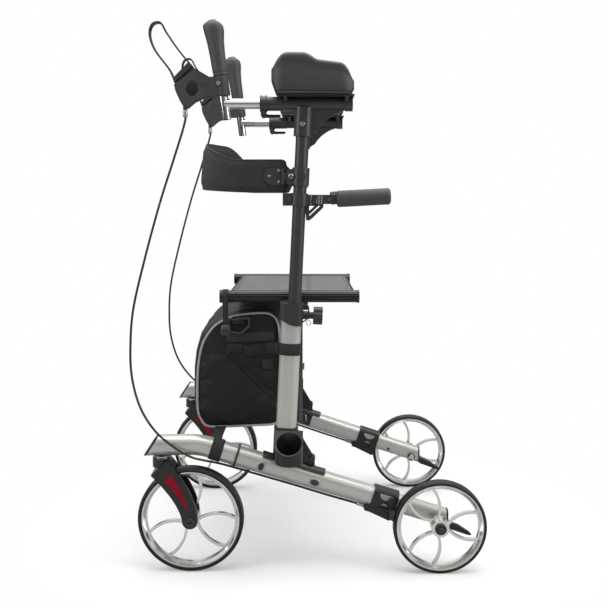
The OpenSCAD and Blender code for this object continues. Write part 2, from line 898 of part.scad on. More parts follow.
module post_collar() {
    color(black)
        difference() {
            union() {
                intersection() {
                    upright_frame()
                        translate([0, 0, collar_w0])
                            linear_extrude(collar_h)
                                round_rect(collar_l, collar_d, 14);
                    upright_frame()
                        translate([collar_l / 2 - 8, 0, collar_w0 + collar_r - 0.4])
                            rod_y(-60, 60, 2 * collar_r);
                }
                upright_frame()
                    translate([collar_l / 2 - 4, 0, knob_w])
                        rod_x(0, knob_boss_l + 4, 18);
                translate([cradle_x, rail_y - 6, rail_z - rail_d / 2 - 8])
                    cube([cradle_l, post_y - rail_y - upright_w / 2 + 14, 14]);
            }
            upright_frame() {
                translate([0, 0, -1])
                    linear_extrude(upright_h + 1 + seat_gap)
                        stadium(upright_l + 2 * seat_gap, upright_w + 2 * seat_gap);
                translate([post_shift, 0, 0])
                    cylinder(h = 600, d = post_d + 2 * fit);
                translate([0, 0, knob_w])
                    rod_x(0, 100, knob_shank_d + 2 * fit);
            }
            translate([0, rail_y, rail_z])
                rod_x(cradle_x - 1, cradle_x + cradle_l + 1, rail_d + 2 * clear);
        }
}

module height_knob() {
    head_x = collar_l / 2 + knob_boss_l + 8;
    color(black)
        upright_frame()
            translate([0, 0, knob_w]) {
                rod_x(post_shift + post_d / 2 + clear, head_x + 1, knob_shank_d);
                rod_x(collar_l / 2 + knob_boss_l + clear, head_x + 1, 15);
                difference() {
                    rod_x(head_x, head_x + 20, knob_d);
                    for (k = [0:5])
                        rotate([60 * k, 0, 0])
                            translate([0, 0, knob_d / 2 + 3])
                                rod_x(head_x - 1, head_x + 21, 13);
                }
            }
}

// Post, and the arm rest bracket on its top
post_w0 = upright_h - post_insert;
post_w1 = post_w0 + post_l;
arm_z = upright_foot_z + post_w1 * cos(post_lean) + arm_rise;
housing_x0 = upright_x - 5;
housing_x1 = upright_x + 143;
clamp_x0 = upright_x - 52;
clamp_l = 16;
plate_t = 4;
plate_z = arm_z + housing_d / 2 - 1;
sleeve_hold = 54;
web_t = 11;
cam_x = clamp_x0 + 8;
cam_z = arm_z - handle_tube_d / 2 - 13;
cam_pin_d = 5;
cam_t = 8;
cam_l = housing_x0 - cam_x - 2;

module post() {
    color(black)
        post_frame()
            translate([0, 0, post_w0])
                difference() {
                    cylinder(h = post_l, d = post_d);
                    translate([0, 0, -1])
                        cylinder(h = post_l + 2, d = post_d - 2 * post_wall);
                }
}

module arm_bracket() {
    top_x = upright_x + post_shift + post_w1 * sin(post_lean);
    top_z = upright_foot_z + post_w1 * cos(post_lean);
    arch_r = 94;
    color(black)
        difference() {
            union() {
                post_frame()
                    translate([0, 0, post_w1 - sleeve_hold])
                        linear_extrude(sleeve_hold + 8)
                            stadium(post_d + 10, post_d + 8);
                translate([0, post_y, arm_z]) {
                    rod_x(housing_x0, housing_x1, housing_d);
                    rod_x(housing_x1 - 13, housing_x1 + 3, housing_d + 4);
                    rod_x(clamp_x0, housing_x0 + 1, handle_tube_d + 8);
                    rod_x(clamp_x0, clamp_x0 + clamp_l, handle_tube_d + 11);
                    for (x = [clamp_x0 + 1, clamp_x0 + clamp_l - 5])
                        rod_x(x, x + 4, handle_tube_d + 14);
                }
                translate([0, post_y, 0]) {
                    for (s = [-1, 1])
                        across(s * (cam_t / 2 + 3) - 2.5, s * (cam_t / 2 + 3) + 2.5) {
                            translate([cam_x, cam_z])
                                circle(d = 12);
                            translate([cam_x - 6, cam_z])
                                square([12, 10]);
                        }
                    difference() {
                        across(-web_t / 2, web_t / 2)
                            polygon([
                                [top_x, arm_z], [housing_x1 + 2, arm_z], [housing_x1 + 2, arm_z - 12],
                                [top_x + 10, top_z - sleeve_hold]
                            ]);
                        translate([top_x + 111, 0, top_z - sleeve_hold - 36])
                            rod_y(-web_t, web_t, 2 * arch_r);
                    }
                    difference() {
                        translate([housing_x0 - 2, -pad_w * 0.37, plate_z])
                            cube([pad_l - 18, pad_w * 0.74, plate_t]);
                        for (x = [housing_x0 + 22, housing_x1 - 24], s = [-1, 1])
                            translate([x, s * pad_w * 0.28, plate_z - 1])
                                cylinder(h = plate_t + 2, d = 6);
                    }
                    for (x = [housing_x0 + 4, housing_x1 - 14])
                        along(x, x + 8)
                            polygon([
                                [-pad_w * 0.33, plate_z + 1], [pad_w * 0.33, plate_z + 1],
                                [housing_d / 2 - 2, arm_z], [2 - housing_d / 2, arm_z]
                            ]);
                }
            }
            translate([0, post_y, arm_z])
                rod_x(clamp_x0 - 1, housing_x1 - 4, handle_tube_d + 2 * fit);
            post_frame()
                translate([0, 0, post_w1 - sleeve_hold - 20])
                    cylinder(h = sleeve_hold + 20 + seat_gap, d = post_d + 2 * fit);
            translate([cam_x, post_y, cam_z])
                rod_y(-20, 20, cam_pin_d + 2 * fit);
            translate([clamp_x0 - 1, post_y - 1, arm_z - housing_d])
                cube([clamp_l + 8, 2, housing_d]);
        }
    color(chrome)
        translate([cam_x, post_y, cam_z])
            rod_y(-cam_t / 2 - 7, cam_t / 2 + 7, cam_pin_d);
}

module clamp_lever() {
    color(black)
        difference() {
            translate([0, post_y, 0])
                across(-cam_t / 2, cam_t / 2) {
                    translate([cam_x, cam_z])
                        circle(d = 11);
                    polygon([
                        [cam_x, cam_z - 5.5], [cam_x + cam_l - 4, cam_z - 5], [cam_x + cam_l, cam_z - 2],
                        [cam_x + cam_l - 2, cam_z + 1], [cam_x + 12, cam_z + 1], [cam_x, cam_z + 3]
                    ]);
                }
            translate([cam_x, post_y, cam_z])
                rod_y(-20, 20, cam_pin_d + 2 * fit);
        }
}

// Arm pad: a moulded trough, high in front and rounded off at both ends
pad_floor = plate_z + plate_t + 0.3;
pad_x0 = housing_x0 - 21;
pad_y = post_y + 4;
PAD_TOP = [
    [0, 0.56], [0.03, 0.68], [0.07, 0.82], [0.13, 0.95], [0.18, 1], [0.4, 1], [0.46, 0.95],
    [0.54, 0.82], [0.86, 0.74], [0.92, 0.62], [0.97, 0.42], [1, 0.26]
];
PAD_FOOT = [[0, 0.44], [0.03, 0.16], [0.07, 0], [0.95, 0], [0.98, 0.05], [1, 0.16]];
PAD_SIDE = [[0, 0.66], [0.03, 0.82], [0.08, 0.93], [0.15, 1], [0.85, 0.98], [0.94, 0.88], [1, 0.7]];
PAD_DIP = [[0, 0], [0.07, 0.35], [0.15, 0.9], [0.3, 1], [0.8, 0.75], [0.94, 0.25], [1, 0]];
pad_stations = [0, 0.03, 0.07, 0.13, 0.18, 0.26, 0.34, 0.4, 0.46, 0.54, 0.66, 0.78, 0.86, 0.92, 0.97, 1];

// Section of the pad: flat foot, bulging sides, and a trough between two round walls
function pad_ring(k) =
    let (
        foot = pad_floor + pad_h * lookup(k, PAD_FOOT),
        top = pad_floor + pad_h * lookup(k, PAD_TOP),
        half = pad_w / 2 * lookup(k, PAD_SIDE),
        dip = min(trough_h * lookup(k, PAD_DIP), (top - foot) * 0.6),
        wall = half * 0.24,
        rise = top - foot,
        right = concat(
            [[half * 0.82, foot], [half * 0.96, foot + rise * 0.12], [half, foot + rise * 0.4],
             [half * 0.98, foot + rise * 0.7]],
            [for (a = [10, 50, 90, 130]) [half - wall + wall * cos(a), top - rise * 0.12 * (1 - sin(a))]],
            [for (a = [20, 45, 70]) [(half - 2 * wall) * cos(a), top - rise * 0.1 - (dip - rise * 0.03) * sin(a)]]
        ),
        n = len(right)
    )
    [for (p = concat(right, [[0, top - rise * 0.1 - dip]], [for (i = [n - 1:-1:0]) [-right[i][0], right[i][1]]]))
        [pad_x0 + k * pad_l, pad_y + p[0], p[1]]];

module arm_pad() {
    color(black)
        loft([for (k = pad_stations) pad_ring(k)]);
}

// Chromed handle: a level tube in the housing and a leaning stem that carries grip and brake
handle_tube_x1 = housing_x1 - 62;
stem_down = 34;
grip_w0 = 60;
stem_up = grip_w0 + grip_l - 14;

module handle_tube() {
    color(chrome)
        difference() {
            union() {
                translate([0, post_y, arm_z])
                    rod_x(handle_x, handle_tube_x1, handle_tube_d);
                handle_axis()
                    translate([0, 0, -stem_down])
                        cylinder(h = stem_down + stem_up, d = handle_stem_d);
            }
            translate([0, post_y, arm_z])
                rod_x(handle_x + handle_stem_d, handle_tube_x1 + 1, handle_tube_d - 4);
            handle_axis()
                translate([0, 0, -stem_down - 1])
                    cylinder(h = stem_down - handle_tube_d / 2, d = handle_stem_d - 4);
        }
}

GRIP_FORE = [[0, 15.5], [0.1, 16], [0.35, 17], [0.6, 19], [0.85, 23], [0.93, 23.5], [0.98, 14], [1, 6]];
GRIP_AFT = [[0, 15.5], [0.1, 16], [0.35, 16], [0.6, 17.5], [0.8, 21], [0.9, 19], [0.96, 10], [1, 4]];
GRIP_SIDE = [[0, 15], [0.1, 15.5], [0.6, 17], [0.85, 18], [0.94, 15], [1, 5]];
grip_stations = [0, 0.1, 0.22, 0.35, 0.48, 0.6, 0.72, 0.8, 0.85, 0.9, 0.93, 0.96, 0.98, 1];
grip_sides = 24;

module hand_grip() {
    color(black)
        handle_axis()
            difference() {
                loft([
                    for (k = grip_stations)
                        [for (j = [0:grip_sides - 1])
                            let (a = 360 * j / grip_sides)
                            [(cos(a) < 0 ? lookup(k, GRIP_FORE) : lookup(k, GRIP_AFT)) * cos(a),
                             lookup(k, GRIP_SIDE) * sin(a), grip_w0 + k * grip_l]]
                ]);
                cylinder(h = stem_up + seat_gap, d = handle_stem_d + 2 * fit);
            }
}

// Brake housing with a slot for the lever's tongue; outline measured from the handle's crossing
lever_pin = [-42, 42];
BRAKE_EDGE = [
    [-106, 40], [-62, 74], [-31, 56], [-12, 57], [2, 57], [8, 15], [-14, 15]
];
BRAKE_FOOT = [[-30, 14], [-46, 10.5], [-61, 4], [-78, -10], [-85, -9], [-94, 6], [-103, 26]];
cable_exit = [-84, -12];
slot_w = 9;

module brake_outline() {
    polygon(concat(BRAKE_EDGE, BRAKE_FOOT));
}

module brake_housing() {
    color(black)
        difference() {
            handle_frame() {
                across(-brake_w / 2 + 3, brake_w / 2 - 3)
                    brake_outline();
                translate([-50, 0, 32])
                    scale(0.94)
                        across(-brake_w / 2 / 0.94, brake_w / 2 / 0.94)
                            translate([50, -32])
                                brake_outline();
                rotate([0, -handle_lean, 0])
                    translate([0, 0, 17])
                        cylinder(h = grip_w0 - 18, d = handle_stem_d + 11);
                translate([cable_exit[0], 0, cable_exit[1] - 14])
                    cylinder(h = 22, d = cable_d + 4);
                translate([lever_pin[0], 0, lever_pin[1]])
                    rod_y(-brake_w / 2 - 1, brake_w / 2 + 1, lever_pin_d + 10);
                translate([-11, 0, 41])
                    rod_y(-brake_w / 2 - 4, brake_w / 2 + 4, 10);
            }
            handle_axis()
                translate([0, 0, -80])
                    cylinder(h = 300, d = handle_stem_d + 2 * fit);
            handle_frame() {
                for (s = [-1, 1])
                    across(s * brake_w / 2 - 1, s * brake_w / 2 + 1)
                        translate([-69, 32])
                            rotate(82)
                                stadium(29, 22);
                across(-slot_w / 2, slot_w / 2)
                    polygon([
                        [-125, 30], [-102, 36], [-70, 26], [-42, 28], [-27, 42], [-27, 75], [-60, 100], [-125, 60]
                    ]);
                translate([cable_exit[0], 0, cable_exit[1] - 15])
                    cylinder(h = 30, d = cable_d + 2 * fit);
                translate([lever_pin[0], 0, lever_pin[1]])
                    rod_y(-brake_w, brake_w, lever_pin_d + 2 * fit);
            }
        }
    color(dark)
        handle_frame()
            translate([lever_pin[0], 0, lever_pin[1]])
                rod_y(-brake_w / 2 - 2.5, brake_w / 2 + 2.5, lever_pin_d);
}

// Brake lever: a closed finger loop like a drop, with a tongue down to the pin
LOOP = [
    [-106, 44], [-117, 70], [-148, 112], [-159, 145], [-152, 168], [-133, 171], [-120, 150], [-96, 115], [-66, 79]
];
loop_steps = 6;

// Curve moved to the right of its own way
function inset(c, t) = [
    for (i = [0:len(c) - 1])
        let (way = unit(c[min(i + 1, len(c) - 1)] - c[max(i - 1, 0)]))
        c[i] + t * [way[1], -way[0]]
];

module brake_lever() {
    band = lever_w / 2;
    tongue = slot_w / 2 - 0.5;
    edge = smooth(LOOP, loop_steps);
    hole = inset(edge, lever_t);
    color(black)
        handle_frame()
            difference() {
                union() {
                    across(-band, band)
                        polygon(edge);
                    across(-tongue, tongue) {
                        polygon([[-104, 46], [-66, 78], [-36, 50], [-42, 33], [-70, 31], [-98, 38]]);
                        translate(lever_pin)
                            circle(d = lever_pin_d + 11);
                    }
                }
                across(-lever_w, lever_w)
                    polygon([for (i = [3:len(hole) - 3]) hole[i]]);
                difference() {
                    across(-lever_w, lever_w)
                        polygon([[-109, 39], [-61, 76.2], [-30, 70], [-20, 20], [-80, 10]]);
                    across(-tongue, tongue)
                        square([400, 400], center = true);
                }
                translate([lever_pin[0], 0, lever_pin[1]])
                    rod_y(-lever_w, lever_w, lever_pin_d + 2 * fit);
            }
}

module brake_cable() {
    color(dark)
        cord(smooth(CABLE, cable_steps), cable_d, 8);
}

// Rear assist handle: a clamp on the post with a braced arm, and a grip hinged on it
assist_w = post_w1 - 189;
assist_x = upright_x + 97;
assist_z = upright_foot_z + assist_w * cos(post_lean);
post_x_there = upright_x + post_shift + assist_w * sin(post_lean);
ring_wall = 4.5;
assist_band = 27;
assist_pin_d = 7;
assist_cheek = 5;
assist_eye_t = 12;
assist_tilt = 3;

module assist_bracket() {
    arm = assist_eye_t / 2 + fit + assist_cheek;
    color(black)
        difference() {
            union() {
                post_frame()
                    translate([0, 0, assist_w - assist_band / 2])
                        linear_extrude(assist_band)
                            circle(d = post_d + 2 * ring_wall);
                translate([post_x_there - 36, post_y - 9, assist_z - assist_band / 2])
                    cube([22, 18, assist_band]);
                translate([0, post_y, 0]) {
                    across(-arm, arm) {
                        translate([post_x_there + 8, assist_z - 10])
                            square([assist_x - post_x_there - 8, 20]);
                        translate([assist_x, assist_z])
                            circle(d = 20);
                    }
                    across(-4, 4)
                        translate([post_x_there, assist_z])
                            difference() {
                                polygon([
                                    [10, -8], [62, -8], [56, -13], [27, -41], [20, -46], [14, -44], [13, -12]
                                ]);
                                polygon([[21, -14], [45, -14], [21, -36]]);
                            }
                    for (k = [0:4])
                        translate([post_x_there + 24 + 5.5 * k, 0, assist_z - 9])
                            rod_y(-arm - 1, arm + 1, 3);
                    for (k = [0:4])
                        translate([post_x_there + 24 + 5.5 * k, -arm - 1, assist_z - 9])
                            cube([3, 2 * arm + 2, 18]);
                }
            }
            post_frame()
                cylinder(h = post_w1, d = post_d + 2 * fit);
            translate([assist_x - 13, post_y - assist_eye_t / 2 - fit, assist_z - 30])
                cube([80, assist_eye_t + 2 * fit, 60]);
            translate([assist_x, post_y, assist_z])
                rod_y(-40, 40, assist_pin_d + 2 * fit);
        }
    color(chrome)
        translate([assist_x, post_y, assist_z])
            rod_y(-arm - 2, arm + 2, assist_pin_d);
}

module assist_handle() {
    grip_x = 16;
    rib = assist_l / 22;
    color(black)
        translate([assist_x, post_y, assist_z])
            rotate([0, -assist_tilt, 0])
                difference() {
                    union() {
                        across(-assist_eye_t / 2, assist_eye_t / 2) {
                            circle(d = 19);
                            translate([0, -9.5])
                                square([grip_x + 6, 19]);
                        }
                        rotate([0, 90, 0])
                            rotate_extrude()
                                polygon(concat(
                                    [[0, grip_x], [assist_d / 2 - 3, grip_x]],
                                    [for (k = [0:19], e = [0, 1])
                                        [assist_d / 2 - (e == 0 ? 0.4 : 0), grip_x + 3 + rib * (k + e * 0.5)]],
                                    arc([assist_d / 2 - 7, grip_x + assist_l - 7], 7, 0, 90, 6),
                                    [[0, grip_x + assist_l]]
                                ));
                    }
                    rod_y(-40, 40, assist_pin_d + 2 * fit);
                }
}

// Belt clamp: a ring on the post, a hinge pin, and the riveted half-round plate of the belt
belt_w = post_w1 - 140;
belt_z = upright_foot_z + belt_w * cos(post_lean);
belt_post_x = upright_x + post_shift + belt_w * sin(post_lean);
hinge_x = belt_post_x - 36;
plate_y = post_y - 1;
plate_l = 42;
belt_band = 38;
plate_thick = 3;
hinge_pin_d = 5;

module belt_clamp() {
    knuckle_d = 10;
    knuckle_h = 16;
    hinge_y = plate_y + 5.5;
    color(black)
        difference() {
            union() {
                post_frame()
                    translate([0, 0, belt_w - belt_band / 2])
                        linear_extrude(belt_band)
                            circle(d = post_d + 2 * ring_wall);
                translate([hinge_x + knuckle_d / 2 + 1, post_y + 0.5, belt_z - 16])
                    cube([20, 12, 32]);
                translate([hinge_x, hinge_y, belt_z - knuckle_h / 2])
                    cylinder(h = knuckle_h, d = knuckle_d);
                translate([hinge_x, hinge_y - knuckle_d / 2, belt_z - knuckle_h / 2])
                    cube([knuckle_d, knuckle_d, knuckle_h]);
                translate([belt_post_x + 5, post_y + post_d / 2, belt_z])
                    rod_y(0, 9, 13);
            }
            post_frame()
                cylinder(h = post_w1, d = post_d + 2 * fit);
            translate([hinge_x, hinge_y, belt_z - 30])
                cylinder(h = 60, d = hinge_pin_d + 2 * fit);
        }
    color(black)
        difference() {
            union() {
                across(plate_y, plate_y + plate_thick)
                    difference() {
                        translate([hinge_x, belt_z])
                            stadium(2 * plate_l, belt_band);
                        translate([hinge_x - knuckle_d / 2 - 1, belt_z - belt_band])
                            square(2 * belt_band);
                    }
                for (s = [-1, 1])
                    translate([0, 0, belt_z + s * (knuckle_h / 2 + 4.2) - 3.8]) {
                        translate([hinge_x, hinge_y, 0])
                            cylinder(h = 7.6, d = knuckle_d);
                        translate([hinge_x - knuckle_d / 2 - 2, plate_y, 0])
                            cube([knuckle_d / 2 + 2, plate_thick, 7.6]);
                    }
            }
            translate([hinge_x, hinge_y, belt_z - 30])
                cylinder(h = 60, d = hinge_pin_d + 2 * fit);
        }
    color(chrome)
        translate([hinge_x, hinge_y, belt_z - 17.5])
            cylinder(h = 35, d = hinge_pin_d);
}

// Back belt: a padded band in a U, taller across the middle
belt_y = plate_y - 0.3 - belt_t / 2;
belt_x1 = belt_post_x - 26;
belt_turn_x = upright_x - 93;
belt_bow = 110;
belt_foot = belt_z - 33;
belt_half = concat(
    [for (k = [0, 0.04, 0.08, 0.13, 0.4, 0.7]) [belt_x1 + (belt_turn_x - belt_x1) * k, belt_y]],
    [for (a = [0:9:90]) [belt_turn_x - belt_bow * sin(a), belt_y * cos(a)]]
);
belt_n = len(belt_half);
belt_path = concat(belt_half, [for (i = [belt_n - 2:-1:0]) [belt_half[i][0], -belt_half[i][1]]]);

function belt_ring(i) =
    let (
        last = len(belt_path) - 1,
        way = unit(belt_path[min(i + 1, last)] - belt_path[max(i - 1, 0)]),
        out = [way[1], -way[0]],
        at = belt_path[i],
        turn = asin(max(0, min(1, (belt_turn_x - at[0]) / belt_bow))),
        lift = min(1, turn / 60),
        rise = belt_rise * lift * lift * (3 - 2 * lift),
        end = pow(max(0, 1 - (belt_x1 - at[0]) / 14), 2),
        foot = belt_foot + turn / 12 + 13 * end,
        top = belt_foot + belt_h + rise - 20 * end,
        t = belt_t / 2
    )
    [for (p = [[t, foot + 5], [t, top - 5], [t * 0.5, top], [-t * 0.5, top],
               [-t, top - 5], [-t, foot + 5], [-t * 0.5, foot], [t * 0.5, foot]])
        [at[0] + out[0] * p[0], at[1] + out[1] * p[0], p[1]]];

module back_belt() {
    color(dark)
        loft([for (i = [0:len(belt_path) - 1]) belt_ring(i)]);
}

// Cross brace: two bars on a common bolt, each rising from one bracket to the far seat rail
rail_hang = rail_z - rail_d / 2 - 12;
brace_angle = atan((rail_hang - brace_z) / (brace_y + rail_y));
brace_l = norm([brace_y + rail_y, rail_hang - brace_z]);
cross_z = brace_z + brace_y * tan(brace_angle);
cross_l = brace_y / cos(brace_angle);

// Bar that starts at the left bracket and lies in the given layer
module brace_bar(x0) {
    rest_x = max(x0 - 12, cradle_x + cradle_l + 1);
    difference() {
        union() {
            translate([0, -brace_y, brace_z]) {
                rod_x(barrel_x0, barrel_x1, brace_h + 3);
                rotate([brace_angle, 0, 0])
                    translate([x0, 0, -brace_h / 2])
                        cube([brace_t, brace_l, brace_h]);
            }
            translate([rest_x, rail_y - 9, rail_hang - 4])
                cube([x0 + brace_t + 12 - rest_x, 18, rail_z - rail_hang]);
        }
        translate([0, -brace_y, brace_z]) {
            rod_x(barrel_x0 - 1, barrel_x1 + 1, brace_pin_d + 2 * fit);
            rotate([brace_angle, 0, 0])
                translate([0, cross_l, 0])
                    rod_x(x0 - 1, x0 + brace_t + 1, brace_pin_d + 2 * fit);
        }
        translate([0, rail_y, rail_z])
            rod_x(x0 - 30, x0 + 60, rail_d + 2 * seat_gap);
    }
}

module brace_a() {
    color(black)
        brace_bar(brace_x);
}

module brace_b() {
    color(black)
        mirror([0, 1, 0])
            brace_bar(brace_x + brace_t + brace_gap);
}

module brace_bolt() {
    x0 = brace_x - 0.3;
    x1 = brace_x + 2 * brace_t + brace_gap + 0.3;
    color(chrome)
        translate([0, 0, cross_z]) {
            rod_x(x0 - 4, x1 + 4, brace_pin_d);
            rod_x(x0 - 4, x0, brace_pin_d + 7);
            rod_x(x1, x1 + 4, brace_pin_d + 7);
        }
}

// Grooved seat rail with a disc at each end
rail_x0 = upright_x - 139;
module seat_rail() {
    color(dark)
        translate([0, rail_y, rail_z]) {
            along(rail_x0, rail_x0 + rail_l)
                difference() {
                    circle(d = rail_d);
                    for (a = [20, 160, 200, 340])
                        rotate(a)
                            translate([rail_d / 2, 0])
                                circle(d = 5);
                }
            for (x = [rail_x0 - 6, rail_x0 + rail_l])
                rod_x(x, x + 6, rail_d + 2);
        }
}

// Seat: a sheet of fabric between the rails, with a slight hollow
seat_t = 3;
seat_lift = 10;
seat_half = rail_y - sqrt(pow(rail_d / 2, 2) - pow(seat_lift - seat_t, 2)) - seat_gap;
seat_top = rail_z + seat_lift;
seat_sag = 6;
module seat_fabric() {
    color([0.5, 0.5, 0.49])
        along(rail_x0 + 16, rail_x0 + rail_l - 4)
            polygon(concat(
                [for (i = [0:12]) let (y = seat_half * (i / 6 - 1)) [y, seat_top - seat_t - seat_sag * (1 - pow(y / seat_half, 2))]],
                [for (i = [12:-1:0]) let (y = seat_half * (i / 6 - 1)) [y, seat_top - seat_sag * (1 - pow(y / seat_half, 2))]]
            ));
}

// Bag under the seat, round in front
bag_x0 = upright_x - 199;
bag_x1 = bag_x0 + bag_l;
bag_z1 = rail_z - 38;
bag_z0 = bag_z1 - bag_h;
bag_bow = bag_l * 0.58;
bag_round = bag_l * 0.15;
tie_w = upright_h * 0.69;
tie_h = 26;
module bag_tie() {
    tie_in = [upright_x + tie_w * sin(post_lean), post_y - upright_w / 2 - 1];
    tie_out = [bag_x1 - 8, bag_w / 2 - 2];
    way = tie_in - tie_out;
    upright_frame()
        translate([0, 0, tie_w])
            linear_extrude(tie_h)
                difference() {
                    stadium(upright_l + 2 * clear + 3, upright_w + 2 * clear + 3);
                    stadium(upright_l + 2 * clear, upright_w + 2 * clear);
                }
    translate([tie_out[0], tie_out[1], upright_foot_z + tie_w * cos(post_lean)])
        rotate([0, 0, atan2(way[1], way[0])])
            translate([0, -0.8, 0])
                cube([norm(way), 1.6, tie_h]);
}

module bag() {
    color(dark)
        for (s = [0, 1])
            mirror([0, s, 0])
                bag_tie();
    color(dark)
        across(-bag_w / 2, bag_w / 2)
            polygon(concat(
                [[bag_x1, bag_z0]],
                arc([bag_x0 + bag_round, bag_z0 + bag_round], bag_round, 270, 180, 8),
                arc([bag_x0 + bag_bow, bag_z1 - bag_bow], bag_bow, 180, 90, 14),
                arc([bag_x1 - bag_round, bag_z1 - bag_round], bag_round, 90, 0, 8)
            ));
}

// Pull strap on the near rail for folding, with its knob
module fold_strap() {
    strap_x = rail_x0 + 8;
    strap_r = rail_d / 2 + 0.2;
    color(dark)
        translate([0, rail_y, rail_z])
            along(strap_x - 6, strap_x + 6)
                difference() {
                    union() {
                        circle(r = strap_r + 2);
                        translate([strap_r - 1, -62])
                            square([3, 62]);
                    }
                    circle(r = strap_r);
                }
    color(black)
        translate([strap_x, rail_y + strap_r + 0.5, rail_z - 86])
            rotate_extrude()
                polygon([[0, 0], [8, 0], [11, 4], [12, 14], [10, 22], [6, 25], [0, 25]]);
}

left_side() leg_tube();  // left_leg_tube
left_side() leg_fittings();  // left_leg_fittings
left_side() upright();  // left_upright
left_side() base_bracket();  // left_base_bracket
left_side() post_collar();  // left_post_collar
left_side() height_knob();  // left_height_knob
left_side() post();  // left_post
left_side() arm_bracket();  // left_arm_bracket
left_side() arm_pad();  // left_arm_pad
left_side() handle_tube();  // left_handle_tube
left_side() hand_grip();  // left_hand_grip
left_side() brake_housing();  // left_brake_housing
left_side() brake_lever();  // left_brake_lever
left_side() clamp_lever();  // left_clamp_lever
left_side() brake_cable();  // left_brake_cable
left_side() assist_bracket();  // left_assist_bracket
left_side() assist_handle();  // left_assist_handle
left_side() belt_clamp();  // left_belt_clamp
left_side() caster_fork();  // left_caster_fork
left_side() reflector();  // left_reflector
left_side() front_rim();  // left_front_rim
left_side() front_tyre();  // left_front_tyre
left_side() rear_rim();  // left_rear_rim
left_side() rear_tyre();  // left_rear_tyre
left_side() brake_shoe();  // left_brake_shoe
right_side() leg_tube();  // right_leg_tube
right_side() leg_fittings();  // right_leg_fittings
right_side() upright();  // right_upright
right_side() base_bracket();  // right_base_bracket
right_side() post_collar();  // right_post_collar
right_side() height_knob();  // right_height_knob
right_side() post();  // right_post
right_side() arm_bracket();  // right_arm_bracket
right_side() arm_pad();  // right_arm_pad
right_side() handle_tube();  // right_handle_tube
right_side() hand_grip();  // right_hand_grip
right_side() brake_housing();  // right_brake_housing
right_side() brake_lever();  // right_brake_lever
right_side() clamp_lever();  // right_clamp_lever
right_side() brake_cable();  // right_brake_cable
right_side() assist_bracket();  // right_assist_bracket
right_side() assist_handle();  // right_assist_handle
right_side() belt_clamp();  // right_belt_clamp
right_side() caster_fork();  // right_caster_fork
right_side() reflector();  // right_reflector
right_side() front_rim();  // right_front_rim
right_side() front_tyre();  // right_front_tyre
right_side() rear_rim();  // right_rear_rim
right_side() rear_tyre();  // right_rear_tyre
right_side() brake_shoe();  // right_brake_shoe
right_side() brace_a();
right_side() brace_b();
right_side() brace_bolt();
left_side() seat_rail();  // left_seat_rail
right_side() seat_rail();  // right_seat_rail
right_side() seat_fabric();
right_side() bag();
right_side() back_belt();
left_side() fold_strap();
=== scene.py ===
# %% [markdown]
# An upright walker, dressed for a studio picture.
# The metal and plastic come as finished solids from the CAD frame. This lesson adds what CAD leaves out:
# finishes, cloth, padding, stitching, screws, and the light to see them by.

# %% Load the frame
import json
import math

import bmesh
import bpy
import numpy as np
from mathutils import Matrix, Vector, noise


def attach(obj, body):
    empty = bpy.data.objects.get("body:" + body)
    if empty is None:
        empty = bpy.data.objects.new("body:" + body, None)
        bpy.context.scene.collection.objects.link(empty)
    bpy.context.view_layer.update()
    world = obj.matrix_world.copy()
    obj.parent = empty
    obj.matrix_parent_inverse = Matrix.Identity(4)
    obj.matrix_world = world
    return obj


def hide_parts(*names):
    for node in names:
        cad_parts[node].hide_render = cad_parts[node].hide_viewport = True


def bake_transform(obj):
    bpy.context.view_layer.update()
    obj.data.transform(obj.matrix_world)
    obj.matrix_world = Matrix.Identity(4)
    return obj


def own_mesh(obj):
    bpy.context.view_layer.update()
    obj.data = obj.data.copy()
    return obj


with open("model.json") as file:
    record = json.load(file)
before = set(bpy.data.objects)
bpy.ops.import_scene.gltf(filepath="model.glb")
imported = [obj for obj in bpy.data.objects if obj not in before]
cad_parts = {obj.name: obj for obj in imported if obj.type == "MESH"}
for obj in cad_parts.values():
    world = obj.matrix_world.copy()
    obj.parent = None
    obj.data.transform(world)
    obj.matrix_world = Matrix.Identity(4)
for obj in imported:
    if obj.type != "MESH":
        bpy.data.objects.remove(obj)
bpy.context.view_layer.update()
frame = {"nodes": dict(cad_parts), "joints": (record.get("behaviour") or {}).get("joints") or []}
scene = bpy.context.scene
scene.view_settings.view_transform = "Standard"

# %% [markdown]
# Places on the walker are measured in millimetres from a datum near the uprights, as on a drawing.
# One small function turns them into Blender's metres. The two sides mirror each other, so most steps
# run once for the left side (negative Y) and once for the right.

# %% Places and sides
DATUM = 6.75
SIDES = {"left": -1, "right": 1}


def mm(x, y, z):
    """A place given in millimetres, as a vector in metres."""
    return Vector(((x + DATUM) / 1000, y / 1000, z / 1000))


# %% [markdown]
# A finish is a recipe of shader nodes. Wiring nodes by hand is slow to read, so one small class wraps a
# socket and lets sums be written as sums: `0.5 + 0.1 * grain` adds the Math nodes by itself.

